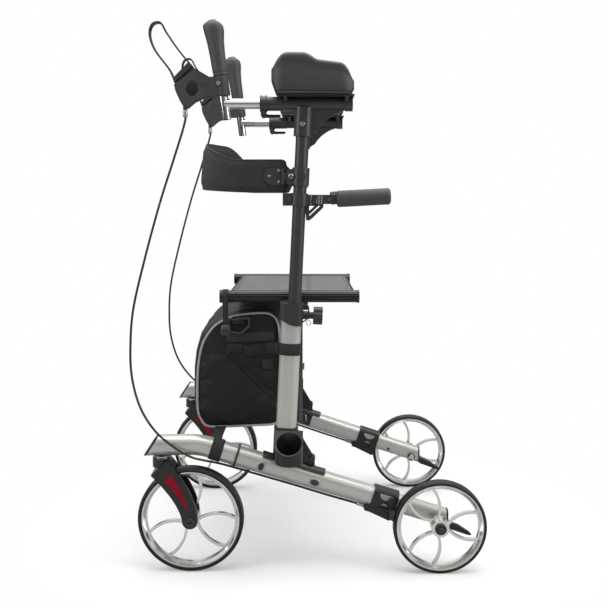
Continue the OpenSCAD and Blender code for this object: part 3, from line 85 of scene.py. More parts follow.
# %% Shader sums
class Wire:
    """One output socket of a shader tree, with arithmetic."""

    def __init__(self, tree, socket):
        self.tree, self.socket = tree, socket

    def node(self, kind, settings=None, inputs=None, out=0):
        """Any other node: its type, its settings, and the values or wires of its inputs."""
        made = self.tree.nodes.new(kind)
        for key, value in (settings or {}).items():
            if key == "stops":
                ramp = made.color_ramp
                while len(ramp.elements) < len(value):
                    ramp.elements.new(0.5)
                for stop, (place, colour) in zip(ramp.elements, value):
                    stop.position, stop.color = place, colour
            else:
                setattr(made, key, value)
        for key, value in (inputs or {}).items():
            if isinstance(value, Wire):
                self.tree.links.new(value.socket, made.inputs[key])
            else:
                made.inputs[key].default_value = value
        return Wire(self.tree, made.outputs[out])

    def sum(self, how, a, b):
        return self.node("ShaderNodeMath", {"operation": how}, {0: a, 1: b})

    def __add__(self, other):
        return self.sum("ADD", self, other)

    def __sub__(self, other):
        return self.sum("SUBTRACT", self, other)

    def __rsub__(self, other):
        return self.sum("SUBTRACT", other, self)

    def __mul__(self, other):
        return self.sum("MULTIPLY", self, other)

    __radd__ = __add__
    __rmul__ = __mul__


# %% [markdown]
# Nearly every surface here follows one plan: a base colour that wanders a little, a roughness that
# wanders with it, and a bump for the grain. So one function makes the plan, and each finish only gives
# its numbers. The textures read Object coordinates in metres, so a scale of 1000 is a grain of a millimetre.

# %% The plan of a finish
finishes = []


def start_finish(name):
    """A new material, its node tree and shader, and the place on the surface as a wire."""
    made = bpy.data.materials.new(name)
    made.use_nodes = True
    finishes.append(made)
    tree = made.node_tree
    shader = tree.nodes["Principled BSDF"]
    place = Wire(tree, tree.nodes.new("ShaderNodeTexCoord").outputs["Object"])
    return made, tree, shader, place


def set_shader(shader, tree, values):
    for key, value in values.items():
        if isinstance(value, Wire):
            tree.links.new(value.socket, shader.inputs[key])
        else:
            shader.inputs[key].default_value = value


def shade(wire, colour, low, high):
    """The colour, darkened and lightened between two factors by a value from 0 to 1."""
    dark = (*[c * low for c in colour], 1)
    light = (*[min(c * high, 1) for c in colour], 1)
    return wire.node("ShaderNodeMix", {"data_type": "RGBA"}, {0: wire, 6: dark, 7: light}, out=2)


def clouds(place, scale, detail):
    return place.node("ShaderNodeTexNoise", None, {"Vector": place, "Scale": scale, "Detail": detail})


def bumped(height, strength, distance, **below):
    """A bump from a height; Normal may give another bump for it to lie on."""
    return height.node("ShaderNodeBump", None,
                       {"Strength": strength, "Distance": distance, "Height": height, **below})


GRAIN_HEIGHT = 0.0004


def grained(name, colour, rough, grain=1200, depth=0.1, wander=0.12, metal=0.0, coat=0.0, specular=0.5,
            crown=None):
    """A plain finish; crown may give a height in metres that rounds flat faces a little."""
    made, tree, shader, place = start_finish(name)
    cloud, fine = clouds(place, 22, 4), clouds(place, grain, 3)
    bump = bumped(fine, depth, GRAIN_HEIGHT)
    if crown:
        bump = bumped(crown(place), 1, 1, Normal=bump)
    set_shader(shader, tree, {
        "Base Color": shade(0.75 * cloud + 0.25 * fine, colour, 1 - wander, 1 + wander),
        "Roughness": rough - 0.06 + 0.12 * cloud,
        "Metallic": metal, "Coat Weight": coat, "Specular IOR Level": specular, "Normal": bump})
    return made


# The leg's line in metres: height of its level run, how far forward it bends, and its fall after that
LEG_Z, LEG_BEND, LEG_FALL = 0.2785, 0.23725, 0.319
LEG_ROUND = 11


def leg_crown(place):
    """The legs' sides are drawn flat but are a little round: a parabola about the line of the leg."""
    x, z = (place.node("ShaderNodeSeparateXYZ", None, {0: place}, out=key) for key in "XZ")
    off = z - LEG_Z + LEG_FALL * place.sum("MAXIMUM", x + LEG_BEND, 0)
    return off * off * -LEG_ROUND


SILVER = (0.55, 0.55, 0.515)
black_plastic = grained("black_plastic", (0.027, 0.028, 0.0275), 0.42, 1400, 0.16)
moulded_black = grained("moulded_black", (0.009, 0.0095, 0.0095), 0.3, 1800, 0.08)
black_paint = grained("black_paint", (0.035, 0.037, 0.037), 0.34, 2600, 0.05)
rail_gloss = grained("rail_gloss", (0.012, 0.012, 0.012), 0.24, 2600, 0.04)
silver_paint = grained("silver_paint", SILVER, 0.31, 3000, 0.07, 0.05, metal=0.5)
leg_silver = grained("leg_silver", SILVER, 0.31, 3000, 0.07, 0.05, metal=0.5, crown=leg_crown)
bright_chrome = grained("bright_chrome", (0.72, 0.72, 0.72), 0.09, 900, 0.01, 0.03, metal=1.0)
zinc_steel = grained("zinc_steel", (0.46, 0.46, 0.45), 0.34, 1500, 0.05, 0.08, metal=1.0)
rim_silver = grained("rim_silver", (0.76, 0.76, 0.73), 0.16, 2200, 0.02, 0.03, metal=0.92, coat=0.3)
tyre_rubber = grained("tyre_rubber", (0.011, 0.011, 0.0108), 0.42, 700, 0.18, 0.2, specular=0.35)
grip_rubber = grained("grip_rubber", (0.046, 0.047, 0.046), 0.5, 1000, 0.2, 0.15)
matte_plastic = grained("matte_plastic", (0.041, 0.042, 0.0415), 0.5, 1400, 0.2)
dark_steel = grained("dark_steel", (0.27, 0.265, 0.25), 0.3, 1500, 0.05, 0.08, metal=1.0)
# Pale grey for the assist bracket's ribs: a painted highlight standing in for the light the ribs catch
painted_rib_highlight = grained("painted_rib_highlight", (0.26, 0.26, 0.25), 0.35, 1500, 0.05, 0.1, metal=0.2)
cable_sheath = grained("cable_sheath", (0.016, 0.016, 0.016), 0.36, 1800, 0.05, 0.1)
red_gloss = grained("red_gloss", (0.25, 0.003, 0.012), 0.22, 1200, 0.03, 0.25, specular=0.15)
print("plain finishes:", len(finishes))

# %% [markdown]
# Cloth needs a weave. Two sets of waves at right angles, one for warp and one for weft, make a thread
# height; the higher thread wins. The arm pads are moulded foam with a leather-like grain, for which cells
# from a Voronoi texture are the usual choice.

# %% Cloth and foam finishes
THREAD_HEIGHT = 0.0006


def woven(name, colour, thread, axes, depth=0.5, rough=0.8, gap=0.55):
    """Cloth with about one thread per 1 / thread metres along two of the axes X, Y and Z."""
    made, tree, shader, place = start_finish(name)
    cloud = clouds(place, 30, 5)
    warp, weft = [
        place.node("ShaderNodeTexWave", {"bands_direction": axis},
                   {"Vector": place, "Scale": thread, "Distortion": 0.4})
        for axis in axes
    ]
    height = place.sum("MAXIMUM", warp, weft)
    set_shader(shader, tree, {
        "Base Color": shade(0.55 * height + 0.45 * cloud, colour, gap, 1.25),
        "Roughness": rough - 0.05 + 0.1 * cloud, "Sheen Weight": 0.03, "Specular IOR Level": 0.3,
        "Normal": bumped(height, depth, THREAD_HEIGHT)})
    return made


def pebbled(name, colour, rough, cell):
    """Foam with a skin of small cells."""
    made, tree, shader, place = start_finish(name)
    cells = place.node("ShaderNodeTexVoronoi", {"feature": "DISTANCE_TO_EDGE"},
                       {"Vector": place, "Scale": cell})
    cloud = clouds(place, 18, 4)
    set_shader(shader, tree, {
        "Base Color": shade(cloud, colour, 0.85, 1.15),
        "Roughness": rough - 0.06 + 0.12 * cloud, "Normal": bumped(cells, 0.25, GRAIN_HEIGHT)})
    return made


bag_nylon = woven("bag_nylon", (0.009, 0.010, 0.0105), 260, ("X", "Z"), 0.35, 0.62)
bag_gusset = woven("bag_gusset", (0.010, 0.011, 0.012), 260, ("Y", "Z"), 0.3, 0.42)
seat_mesh = woven("seat_mesh", (0.2, 0.2, 0.192), 220, ("X", "Y"), 0.7, 0.7, 0.35)
webbing = woven("webbing", (0.021, 0.022, 0.022), 300, ("X", "Z"), 0.8, 0.6, 0.6)
silver_piping = woven("silver_piping", (0.36, 0.37, 0.36), 500, ("X", "Z"), 0.3, 0.45, 0.8)
belt_cloth = woven("belt_cloth", (0.025, 0.026, 0.026), 420, ("Y", "Z"), 0.3, 0.68, 0.7)
pad_foam = pebbled("pad_foam", (0.036, 0.037, 0.036), 0.48, 900)
thread_black = grained("thread_black", (0.035, 0.035, 0.034), 0.7, 2000, 0.2)
grey_webbing = woven("grey_webbing", (0.034, 0.036, 0.037), 300, ("X", "Z"), 0.8, 0.6, 0.6)
hook_patch = woven("hook_patch", (0.038, 0.035, 0.029), 500, ("X", "Z"), 0.9, 0.85, 0.6)
print("finishes in all:", len(finishes))

# %% [markdown]
# Each CAD node takes the finish of its real piece. A few nodes hold pieces of two kinds, such as a black
# bracket with a zinc pin, so faces near the pin's axis take a second finish. Materials and material
# numbers may change on a CAD node; its vertices may not.

# %% Finishes for the CAD nodes
FINISH = {
    "leg_tube": leg_silver, "leg_fittings": moulded_black, "upright": silver_paint,
    "base_bracket": moulded_black, "post_collar": black_plastic, "height_knob": black_plastic,
    "post": black_paint, "arm_bracket": black_paint, "arm_pad": pad_foam, "handle_tube": bright_chrome,
    "hand_grip": grip_rubber, "brake_housing": matte_plastic, "brake_lever": black_plastic,
    "clamp_lever": moulded_black, "brake_cable": cable_sheath, "assist_bracket": black_paint,
    "assist_handle": grip_rubber, "belt_clamp": black_paint, "caster_fork": moulded_black,
    "reflector": red_gloss, "front_rim": rim_silver, "front_tyre": tyre_rubber,
    "rear_rim": rim_silver, "rear_tyre": tyre_rubber, "brake_shoe": black_plastic,
}
SHARED = {
    "brace_a": black_paint, "brace_b": black_paint, "brace_bolt": zinc_steel, "left_seat_rail": rail_gloss,
    "right_seat_rail": rail_gloss, "seat_fabric": seat_mesh, "bag": bag_nylon, "back_belt": belt_cloth,
    "fold_strap": webbing,
}
for name, node in frame["nodes"].items():
    node.data.materials.clear()
    node.data.materials.append(SHARED.get(name) or FINISH[name.split("_", 1)[1]])
print("nodes with a finish:", len(frame["nodes"]))


# %% Second finishes on some nodes
def second_finish(name, finish, test):
    """Faces of a CAD node whose middle passes the test take a second finish."""
    mesh = frame["nodes"][name].data
    mesh.materials.append(finish)
    number = len(mesh.materials) - 1
    hits = 0
    for face in mesh.polygons:
        if test(face.center):
            face.material_index = number
            hits += 1
    return hits


ALONG, ACROSS, UP = Vector((1, 0, 0)), Vector((0, 1, 0)), Vector((0, 0, 1))
# Radii in metres of the metal pieces that show in black ones
FORK_BOLT, STEM_RING, BRACE_PIN, REAR_AXLE, HINGE_PIN = 0.0098, 0.016, 0.0085, 0.0062, 0.0036
STEM_RING_TOP, AXLE_COVER = 0.2556, 0.02
# The assist bracket's ribs, which take pale grey as a painted highlight: two bands along X, clear of the post
# and level with its clamp
RIB_BANDS, RIB_CLEAR, RIB_HALF = ((0.0012, 0.0062), (0.0172, 0.0295)), 0.0115, 0.0105
ASSIST_Y, ASSIST_Z = 0.25, 0.811
at = {j["name"]: Vector(j["pos_m"]) for j in frame["joints"] if "pos_m" in j}


def near_axis(point, way, radius):
    """A test for places within a radius of an axis."""
    return lambda c: ((c - point) - (c - point).dot(way) * way).length < radius


def on_stem_ring(stem):
    return lambda c: abs(c.x - stem.x) < STEM_RING and abs(c.y - stem.y) < STEM_RING and c.z < STEM_RING_TOP


def on_bare_axle(axle):
    close = near_axis(axle, ACROSS, REAR_AXLE)
    return lambda c: close(c) and abs(c.y) < abs(axle.y) - AXLE_COVER


def on_rib(c):
    return (any(a < c.x < b for a, b in RIB_BANDS)
            and abs(abs(c.y) - ASSIST_Y) > RIB_CLEAR and abs(c.z - ASSIST_Z) < RIB_HALF)


done = 0
for side in SIDES:
    wheel, stem, axle, hinge = (
        at[f"{side}_{name}"] for name in ("front_roll", "caster_swivel", "rear_roll", "assist_fold"))
    brace = at["fold" if side == "left" else "right_frame_pivot"]
    for node, finish, test in (
            ("caster_fork", black_paint, near_axis(wheel, ACROSS, FORK_BOLT)),
            ("leg_fittings", bright_chrome, on_stem_ring(stem)),
            ("base_bracket", zinc_steel, near_axis(brace, ALONG, BRACE_PIN)),
            ("leg_fittings", silver_paint, on_bare_axle(axle)),
            # The ribs' pale grey is a painted highlight
            ("assist_bracket", painted_rib_highlight, on_rib),
            ("assist_bracket", dark_steel, near_axis(hinge, ACROSS, HINGE_PIN))):
        done += second_finish(f"{side}_{node}", finish, test)
print("faces with a second finish:", done)

# %% [markdown]
# The soft pieces come next. In CAD they are plain stand-ins; here each is drawn again with the form of
# the real one. Three helpers do nearly all of it: a skin over a row of rings, a smooth line through a few
# points, and a section swept along such a line. The real pieces are moulded, sewn or extruded, which is
# just what rings and sweeps describe.

# %% Skins, lines and sweeps
def make_piece(name, points, faces, finish):
    """A smooth-shaded mesh, its faces turned outwards."""
    mesh = bpy.data.meshes.new(name)
    mesh.from_pydata([tuple(p) for p in points], [], faces)
    work = bmesh.new()
    work.from_mesh(mesh)
    bmesh.ops.recalc_face_normals(work, faces=work.faces)
    work.to_mesh(mesh)
    work.free()
    mesh.materials.append(finish)
    mesh.polygons.foreach_set("use_smooth", [True] * len(mesh.polygons))
    piece = bpy.data.objects.new(name, mesh)
    scene.collection.objects.link(piece)
    return piece


def skin(name, rings, finish, closed=False):
    """Quads between rings of equal count, with a cap at each end unless the rings form a loop."""
    n = len(rings[0])
    points = [p for ring in rings for p in ring]
    faces = []
    for i in range(len(rings) if closed else len(rings) - 1):
        a, b = i * n, (i + 1) % len(rings) * n
        faces += [(a + j, a + (j + 1) % n, b + (j + 1) % n, b + j) for j in range(n)]
    if not closed:
        faces += [tuple(range(n)), tuple(range(len(points) - n, len(points)))]
    return make_piece(name, points, faces, finish)


def line_through(points, steps, closed=False):
    """A Catmull-Rom line through the points."""
    pts = [Vector(p) for p in points]
    n = len(pts)
    line = []
    for i in range(n if closed else n - 1):
        a, b, c, d = (pts[(i + k) % n] if closed else pts[min(max(i + k, 0), n - 1)] for k in (-1, 0, 1, 2))
        for k in range(steps):
            t = k / steps
            line.append(0.5 * (2 * b + (c - a) * t + (2 * a - 5 * b + 4 * c - d) * t**2
                               + (3 * b - a - 3 * c + d) * t**3))
    return line if closed else line + [pts[-1]]


def sweep(name, line, section, across, finish, closed=False):
    """A section of (width, height) pairs carried along a line; its width runs along the vector across."""
    rings = []
    for i, p in enumerate(line):
        ahead = line[(i + 1) % len(line)] if closed else line[min(i + 1, len(line) - 1)]
        behind = line[i - 1] if closed else line[max(i - 1, 0)]
        way = (ahead - behind).normalized()
        side = (across - across.dot(way) * way).normalized()
        face = way.cross(side)
        rings.append([p + side * w + face * h for w, h in section])
    return skin(name, rings, finish, closed)


def turns(n):
    """The angles of n even steps round a circle."""
    return [2 * math.pi * k / n for k in range(n)]


def disc(radius, sides):
    """Round section; the radius is in millimetres."""
    return [(radius / 1000 * math.cos(a), radius / 1000 * math.sin(a)) for a in turns(sides)]


def band(width, thick):
    """Flat section with soft edges, in millimetres."""
    w, t = width / 2000, thick / 2000
    under = [(-w, -t * 0.3), (-w + t, -t), (w - t, -t), (w, -t * 0.3)]
    return under + [(-x, -y) for x, y in under]


def settle(piece, body, slot, *nodes):
    """Puts a finished piece on its body, in place of the CAD nodes that it stands for."""
    if nodes:
        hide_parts(*nodes)
    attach(piece, body)
    return piece


# %% [markdown]
# Many pieces sit on tubes that lean: the legs slope down to the rear and turn in, the uprights lean back, the
# handles lean forward. A matrix for each of these frames lets a piece be placed as if its tube were level.

# %% Leaning frames
def turned(angle, axis):
    return Matrix.Rotation(math.radians(angle), 4, axis)


SLOPE = (Matrix.Translation((-326, 271, 0)) @ turned(-3, "Z")
         @ Matrix.Translation((82, 0, 278.5)) @ turned(17.7, "Y"))
UPRIGHT = Matrix.Translation((-59, 250, 250)) @ turned(2.75, "Y")
HANDLE = Matrix.Translation((-187, 250, 1015)) @ turned(-7.5, "Y")


def spot(place, side, x, y, z):
    """A point of a leaning frame, on the left or the right side."""
    v = place @ Vector((x, y, z))
    return mm(v.x, SIDES[side] * v.y, v.z)


def heading(place, side, x, y, z):
    """A direction of a leaning frame."""
    v = place.to_3x3() @ Vector((x, y, z))
    return Vector((v.x, SIDES[side] * v.y, v.z)).normalized()


# %% [markdown]
# The arm pad is moulded foam: a flat foot, bulging sides, and a trough for the forearm between two round
# walls. It is high in front and steps down towards the elbow. Tables give the heights along the pad, and
# the ring function turns one station into a section. A loft suits it better than sculpting, because the
# tables can be read off the photo.

# %% Arm pads
def along(k, table):
    """A table of (place, value) pairs read at k, with its corners eased."""
    xs, ys = zip(*table)
    return float(np.mean(np.interp([k - 0.03, k - 0.015, k, k + 0.015, k + 0.03], xs, ys)))


PAD_TOP = [(0, 0.56), (0.03, 0.7), (0.07, 0.84), (0.13, 0.97), (0.18, 1), (0.4, 1), (0.46, 0.95),
           (0.54, 0.83), (0.86, 0.75), (0.92, 0.63), (0.97, 0.42), (1, 0.26)]
PAD_FOOT = [(0, 0.42), (0.02, 0.12), (0.04, 0), (0.97, 0), (0.99, 0.05), (1, 0.16)]
PAD_SIDE = [(0, 0.66), (0.03, 0.82), (0.08, 0.93), (0.15, 1), (0.85, 0.98), (0.94, 0.88), (1, 0.7)]
PAD_DIP = [(0, 0), (0.07, 0.35), (0.15, 0.9), (0.3, 1), (0.8, 0.75), (0.94, 0.25), (1, 0)]
PAD_L, PAD_W, PAD_H = 173, 106, 85
PAD_FRONT, PAD_MIDDLE, PAD_FLOOR, PAD_TROUGH = -85, 254, 1032.3, 30


def pad_ring(k, q):
    """One section across the pad, at a share k of its length."""
    foot, top = PAD_FLOOR + PAD_H * along(k, PAD_FOOT), PAD_FLOOR + PAD_H * along(k, PAD_TOP)
    half = PAD_W / 2 * along(k, PAD_SIDE)
    rise, wall = top - foot, half * 0.24
    dip = min(PAD_TROUGH * along(k, PAD_DIP), rise * 0.6)
    right = [(half * 0.9, foot), (half * 0.97, foot + rise * 0.025), (half * 0.958, foot + rise * 0.05),
             (half * 0.985, foot + rise * 0.09), (half, foot + rise * 0.42), (half * 0.98, foot + rise * 0.7)]
    right += [(half - wall + wall * math.cos(a), top - rise * 0.12 * (1 - math.sin(a)))
              for a in np.radians([10, 50, 90, 130])]
    right += [((half - 2 * wall) * math.cos(a), top - rise * 0.1 - (dip - rise * 0.03) * math.sin(a))
              for a in np.radians([20, 45, 70])]
    ring = right + [(0, top - rise * 0.1 - dip)] + [(-w, z) for w, z in reversed(right)]
    places = [mm(PAD_FRONT + k * PAD_L, q * (PAD_MIDDLE + w), z) for w, z in ring]
    return line_through(places, 3, closed=True)


for side, q in SIDES.items():
    rings = [pad_ring(k, q) for k in np.linspace(0, 1, 56)]
    for end, shift in ((0, -0.0008), (-1, 0.0008)):
        middle = sum(rings[end], Vector()) / len(rings[end])
        small = [p.lerp(middle, 0.45) + Vector((shift, 0, 0)) for p in rings[end]]
        rings.insert(0 if end == 0 else len(rings), small)
    pad = skin(f"{side}_arm_pad_foam", rings, pad_foam)
    settle(pad, f"{side}_post", "soft_pad", f"{side}_arm_pad")
print("arm pads:", len(SIDES), "with", len(pad.data.polygons), "faces each")

# %% [markdown]
# The hand grip is soft rubber pushed over the leaning stem. Its section is nearly round at the foot and
# swells to a flat, slanting head, more to the front than to the rear. A lathe would make front and rear
# alike, so rings with a radius for each direction are skinned instead.

# %% Hand grips
GRIP_FORE = [(0, 15.5), (0.1, 16), (0.35, 17), (0.6, 19), (0.85, 23), (0.93, 23.5), (0.98, 15), (1, 6)]
GRIP_AFT = [(0, 15.5), (0.1, 16), (0.35, 16), (0.6, 17.5), (0.8, 21), (0.9, 19), (0.96, 11), (1, 4)]
GRIP_SIDE = [(0, 15), (0.1, 15.5), (0.6, 17), (0.85, 18), (0.94, 15), (1, 5)]
GRIP_START, GRIP_L = 60, 118
GROOVE_AT, GROOVE_HALF, GROOVE_DEPTH = 0.045, 0.012, 0.6
for side in SIDES:
    rings = []
    for k in np.linspace(0, 1, 60):
        fore, aft, wide = along(k, GRIP_FORE), along(k, GRIP_AFT), along(k, GRIP_SIDE)
        groove = GROOVE_DEPTH if abs(k - GROOVE_AT) < GROOVE_HALF else 0
        rings.append([spot(HANDLE, side, ((fore if math.cos(a) < 0 else aft) - groove) * math.cos(a),
                           (wide - groove) * math.sin(a), GRIP_START + GRIP_L * k) for a in turns(40)])
    grip = skin(f"{side}_grip_rubber", rings, grip_rubber)
    settle(grip, f"{side}_handle", "grip_rubber", f"{side}_hand_grip")
print("hand grips:", len(SIDES))

# %% [markdown]
# A brake cable leaves the housing, swings forward in a wide bow, and runs along under the leg to the brake
# sleeve. It crosses two sliding joints, the post and the handle, so it is drawn in two lengths: the lower one
# runs from frame to post, the upper one from post to handle. A curve with a bevel would give the same tube; a
# swept mesh is used because its line also gives the cable's length.

# %% Brake cables
ROUTE = [(-271, 250, 1004), (-271, 250, 988), (-271, 250, 981), (-278, 250, 955), (-297, 253, 895),
         (-326, 257, 805), (-358, 262, 690), (-384, 268, 580), (-391, 273, 500), (-388, 278, 430),
         (-370, 284, 365), (-338, 290, 315), (-298, 292, 280), (-262, 288, 257), (-232, 276, 245),
         (-195, 266, 234), (-120, 260, 210), (-40, 256, 185), (40, 252, 159), (90, 249, 143.5),
         (124, 247.5, 132.5)]
CABLE_D, SPLIT_Z, BEND_Y = 5, 0.812, 0.26
# For each length: the bodies at its lower and upper end, and a lower and an upper height in metres
CABLE_ENDS = {"lower": ("frame", "post", 0.33, 0.80), "upper": ("post", "handle", 0.82, 0.98)}
for side, q in SIDES.items():
    route = line_through([mm(x, q * y, z) for x, y, z in ROUTE], 12)
    split = next(i for i, p in enumerate(route) if p.z < SPLIT_Z)
    lines = {"upper": route[:split + 1], "lower": route[split:]}
    cables = {part: sweep(f"{side}_cable_{part}", line, disc(CABLE_D / 2, 14), ACROSS, cable_sheath)
              for part, line in lines.items()}
    x = route[split].x
    for part, (below, above, low, high) in CABLE_ENDS.items():
        cable, line = cables[part], lines[part]
        length = sum((b - a).length for a, b in zip(line, line[1:]))
        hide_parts(f"{side}_brake_cable")
        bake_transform(cable)
        print(cable.name, "length", round(length, 3), "m")
print("cable lengths:", 2 * len(SIDES))

# %% [markdown]
# The seat is a strip of mesh cloth, keyed into a groove of each rail, so it hangs between them with a slight
# hollow. Its front and rear edges are hemmed with tape, and a seam crosses it. Cloth as taut as this needs no
# simulation: a formula gives the hollow, and a little noise the creases.

# %% Seat
SEAT_X, SEAT_Y, SEAT_TOP = (-182, 96), 192.4, 605.6
HEM_REACH, HEM_HOLLOW, SEAT_HOLLOW = 70, 1.2, 4.8


def seat_height(x, y):
    """The top of the cloth: hollow between the rails, tauter near its hems, with soft creases."""
    taut = min(1, min(x - SEAT_X[0], SEAT_X[1] - x) / HEM_REACH)
    free = 1 - (y / SEAT_Y) ** 2
    hollow = (HEM_HOLLOW + SEAT_HOLLOW * max(0, taut) ** 0.7) * free
    broad = 0.6 * noise.noise((x * 0.02, y * 0.012, 3))
    fine = 1.3 * noise.noise((x * 0.06 + y * 0.02, y * 0.015, 8))
    return SEAT_TOP - hollow + (broad + fine) * free


def seat_strip(name, x0, x1, lift, thick, finish, nx):
    """A strip of the seat's surface between two stations, lifted a little and with some thickness."""
    ys = np.linspace(-SEAT_Y, SEAT_Y, 61)
    xs = np.linspace(x0, x1, nx)
    rings = []
    for y in ys:
        over = [mm(x, y, seat_height(x, y) + lift) for x in xs]
        under = [mm(x, y, seat_height(x, y) + lift - thick) for x in xs]
        rings.append(over + under[::-1])
    return skin(name, rings, finish)


def across_rails(piece):
    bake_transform(piece)


seat = seat_strip("seat_sheet", *SEAT_X, 0, 1.2, seat_mesh, 57)
hems = [seat_strip("seat_hem_front", SEAT_X[0] - 0.6, SEAT_X[0] + 4, 0.5, 2.6, webbing, 6),
        seat_strip("seat_hem_rear", SEAT_X[1] - 4, SEAT_X[1] + 0.6, 0.5, 2.6, webbing, 6),
        seat_strip("seat_seam", -9, -1, 0.6, 1.9, seat_mesh, 5)]
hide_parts("seat_fabric")
for piece in [seat, *hems]:
    across_rails(piece)
print("seat pieces:", 1 + len(hems))

# %% [markdown]
# Sewn cloth looks right when it finds its own shape. Blender's cloth solver gets a closed piece with its
# seams pinned; a little air inside and a little spare cloth let it swell and pucker between them. No point
# may move further than a cap, and the result is kept as a plain mesh.

# %% Cloth under pressure
AIR, STEPS = 4, 20


def as_made(piece):
    """The piece with its modifiers at work."""
    return piece.evaluated_get(bpy.context.evaluated_depsgraph_get())


def even_out(piece, voxel):
    """Cuts a piece into small even faces, which the cloth solver needs."""
    even = piece.modifiers.new("even", "REMESH")
    even.mode, even.voxel_size = "VOXEL", voxel
    finish = piece.data.materials[0]
    piece.data = bpy.data.meshes.new_from_object(as_made(piece))
    piece.modifiers.clear()
    piece.data.materials.clear()
    piece.data.materials.append(finish)


def inflate(piece, held, slack, cap, voxel=0):
    """Settles a cloth piece; held tells from a point's number and place (mm) whether it is sewn down."""
    if voxel:
        even_out(piece, voxel)
    points = [v.co.copy() for v in piece.data.vertices]
    pinned = [i for i, p in enumerate(points) if held(i, p.x * 1000 - DATUM, p.y * 1000, p.z * 1000)]
    piece.vertex_groups.new(name="seams").add(pinned, 1.0, "REPLACE")
    cloth = piece.modifiers.new("air", "CLOTH")
    cloth.settings.vertex_group_mass = "seams"
    cloth.settings.use_pressure, cloth.settings.uniform_pressure_force = True, AIR
    cloth.settings.shrink_min = -slack
    cloth.settings.effector_weights.gravity = 0
    cloth.point_cache.frame_end = STEPS
    for number in range(1, STEPS + 1):
        scene.frame_set(number)
    ready = as_made(piece)
    moves = [v.co - p for v, p in zip(ready.data.vertices, points)]
    scene.frame_set(1)
    piece.modifiers.clear()
    piece.vertex_groups.clear()
    for vertex, p, move in zip(piece.data.vertices, points, moves):
        vertex.co = p + move * min(1, cap / 1000 / max(move.length, 1e-9))
    piece.data.polygons.foreach_set("use_smooth", [True] * len(piece.data.polygons))
    print(piece.name, "moved by up to", round(max(m.length for m in moves) * 1000, 1), "mm, capped at", cap)


# %% [markdown]
# The bag is sewn from two side panels and one long gusset that runs round between them. Sections of the
# side outline, set across the walker, make its shell: the gusset swells between the panels, the panels are
# pillowed, and folds in the cloth come from noise. A plain box under pressure would swell to a cushion, so
# the loft gives the cut of the bag and the solver only its fullness.

# %% Bag shell
BAG_SIDE = [(-258, 339), (-258, 403), (-254, 449), (-245, 487), (-229, 514), (-211, 532), (-183, 546),
            (-150, 553), (-111, 556), (-92, 553), (-79, 541), (-73, 520), (-71, 480), (-71, 400), (-71, 325),
            (-75, 308), (-92, 301), (-128, 299), (-196, 296), (-235, 297), (-250, 312)]
BAG_Y = 183
BAG_MID = Vector((-166, 0, 420))


def bag_puff(x, z):
    """How far the side panel stands out at a place on it."""
    u, v = (x + 166) / 92, (z - 426) / 130
    puff = 6 * max(0, 1 - u * u) * max(0, 1 - v * v)
    pocket = 1 / (1 + math.exp(((x + 191) * 0.703 + (z - 467) * 0.711) / 1.2))
    return puff + 2.2 * pocket * min(1, max(0, 1 - u * u) * 6)


def crease(p, scale, depth):
    return depth * noise.noise((p[0] * scale, p[1] * scale * 0.5, p[2] * scale))


def bag_ring(y):
    """One section of the gusset, swollen more towards the middle of the walker."""
    swell = 1 - abs(y / BAG_Y) ** 2.4
    ring = []
    for p in line_through([(x, y, z) for x, z in BAG_SIDE], 5, closed=True):
        out = Vector((p.x - BAG_MID.x, 0, (p.z - BAG_MID.z) * 0.8)).normalized()
        reach = 13 if p.x < -200 or p.z > 500 else 5
        fold = crease(p, 0.035, 5) + crease(p, 0.09, 2.2)
        ring.append(p + out * swell * (reach + fold))
    return ring


def bag_panel(rim, q):
    """Rings that shrink from the gusset's edge to the middle of a side panel."""
    rings = []
    for share in (0.97, 0.93, 0.88, 0.8, 0.7, 0.6, 0.5, 0.4, 0.3, 0.2, 0.1, 0.03):
        ring = []
        for p in rim:
            r = BAG_MID + Vector((p.x - BAG_MID.x, 0, p.z - BAG_MID.z)) * share
            y = BAG_Y + bag_puff(r.x, r.z) + crease(r, 0.03, 0.8) * (1 - share ** 4)
            ring.append(Vector((r.x, q * y, r.z)))
        rings.append(ring)
    return rings


def on_frame(piece):
    """Bag pieces belong to the left frame."""
    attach(piece, "left_frame")
    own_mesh(piece)
    return piece


gusset = [bag_ring(y) for y in np.linspace(-BAG_Y, BAG_Y, 47)]
whole = bag_panel(gusset[0], -1)[::-1] + gusset + bag_panel(gusset[-1], 1)
shell = skin("bag_shell", [[mm(*p) for p in ring] for ring in whole], bag_nylon)


def bag_held(i, x, y, z):
    """Seams, the flat rear, and all that is sewn to a panel stay where they are."""
    if abs(y) < 182:
        return abs(y) > 175 or x > -100
    pocket = abs((x + 191) * 0.703 + (z - 467) * 0.711) < 6
    return bag_puff(x, z) < 0.6 or z > 458 or pocket or (x > -118 and 420 < z < 458)


inflate(shell, bag_held, 0.035, 6, 0.005)
shell.data.materials.append(bag_gusset)
for face in shell.data.polygons:
    if abs(face.center.y) < 0.1825:
        face.material_index = 1
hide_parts("bag")
on_frame(shell)
print("bag shell faces:", len(shell.data.polygons))

# %% [markdown]
# Cord piping follows the edge of each panel. Each panel carries webbing, a D-ring, a slanted pocket edge and
# a small patch. Straps are flat and sewn down, so they need no simulation: a flat section is swept over the
# panel.

# %% Bag trim
D_RING = [(-186, 541), (-175, 542), (-153, 544.5), (-142, 545), (-140, 542), (-140, 529), (-142, 525),
          (-158, 512), (-163, 511), (-179, 514), (-182, 517)]
SLANT = Vector((0.7, 0, 0.7))


def on_panel(q, points, lift):
    """Places on a side panel, lifted off its cloth."""
    return [mm(x, q * (BAG_Y + bag_puff(x, z) + lift), z) for x, z in points]


def straight(a, b, steps):
    return [(a[0] + (b[0] - a[0]) * k / steps, a[1] + (b[1] - a[1]) * k / steps) for k in range(steps + 1)]


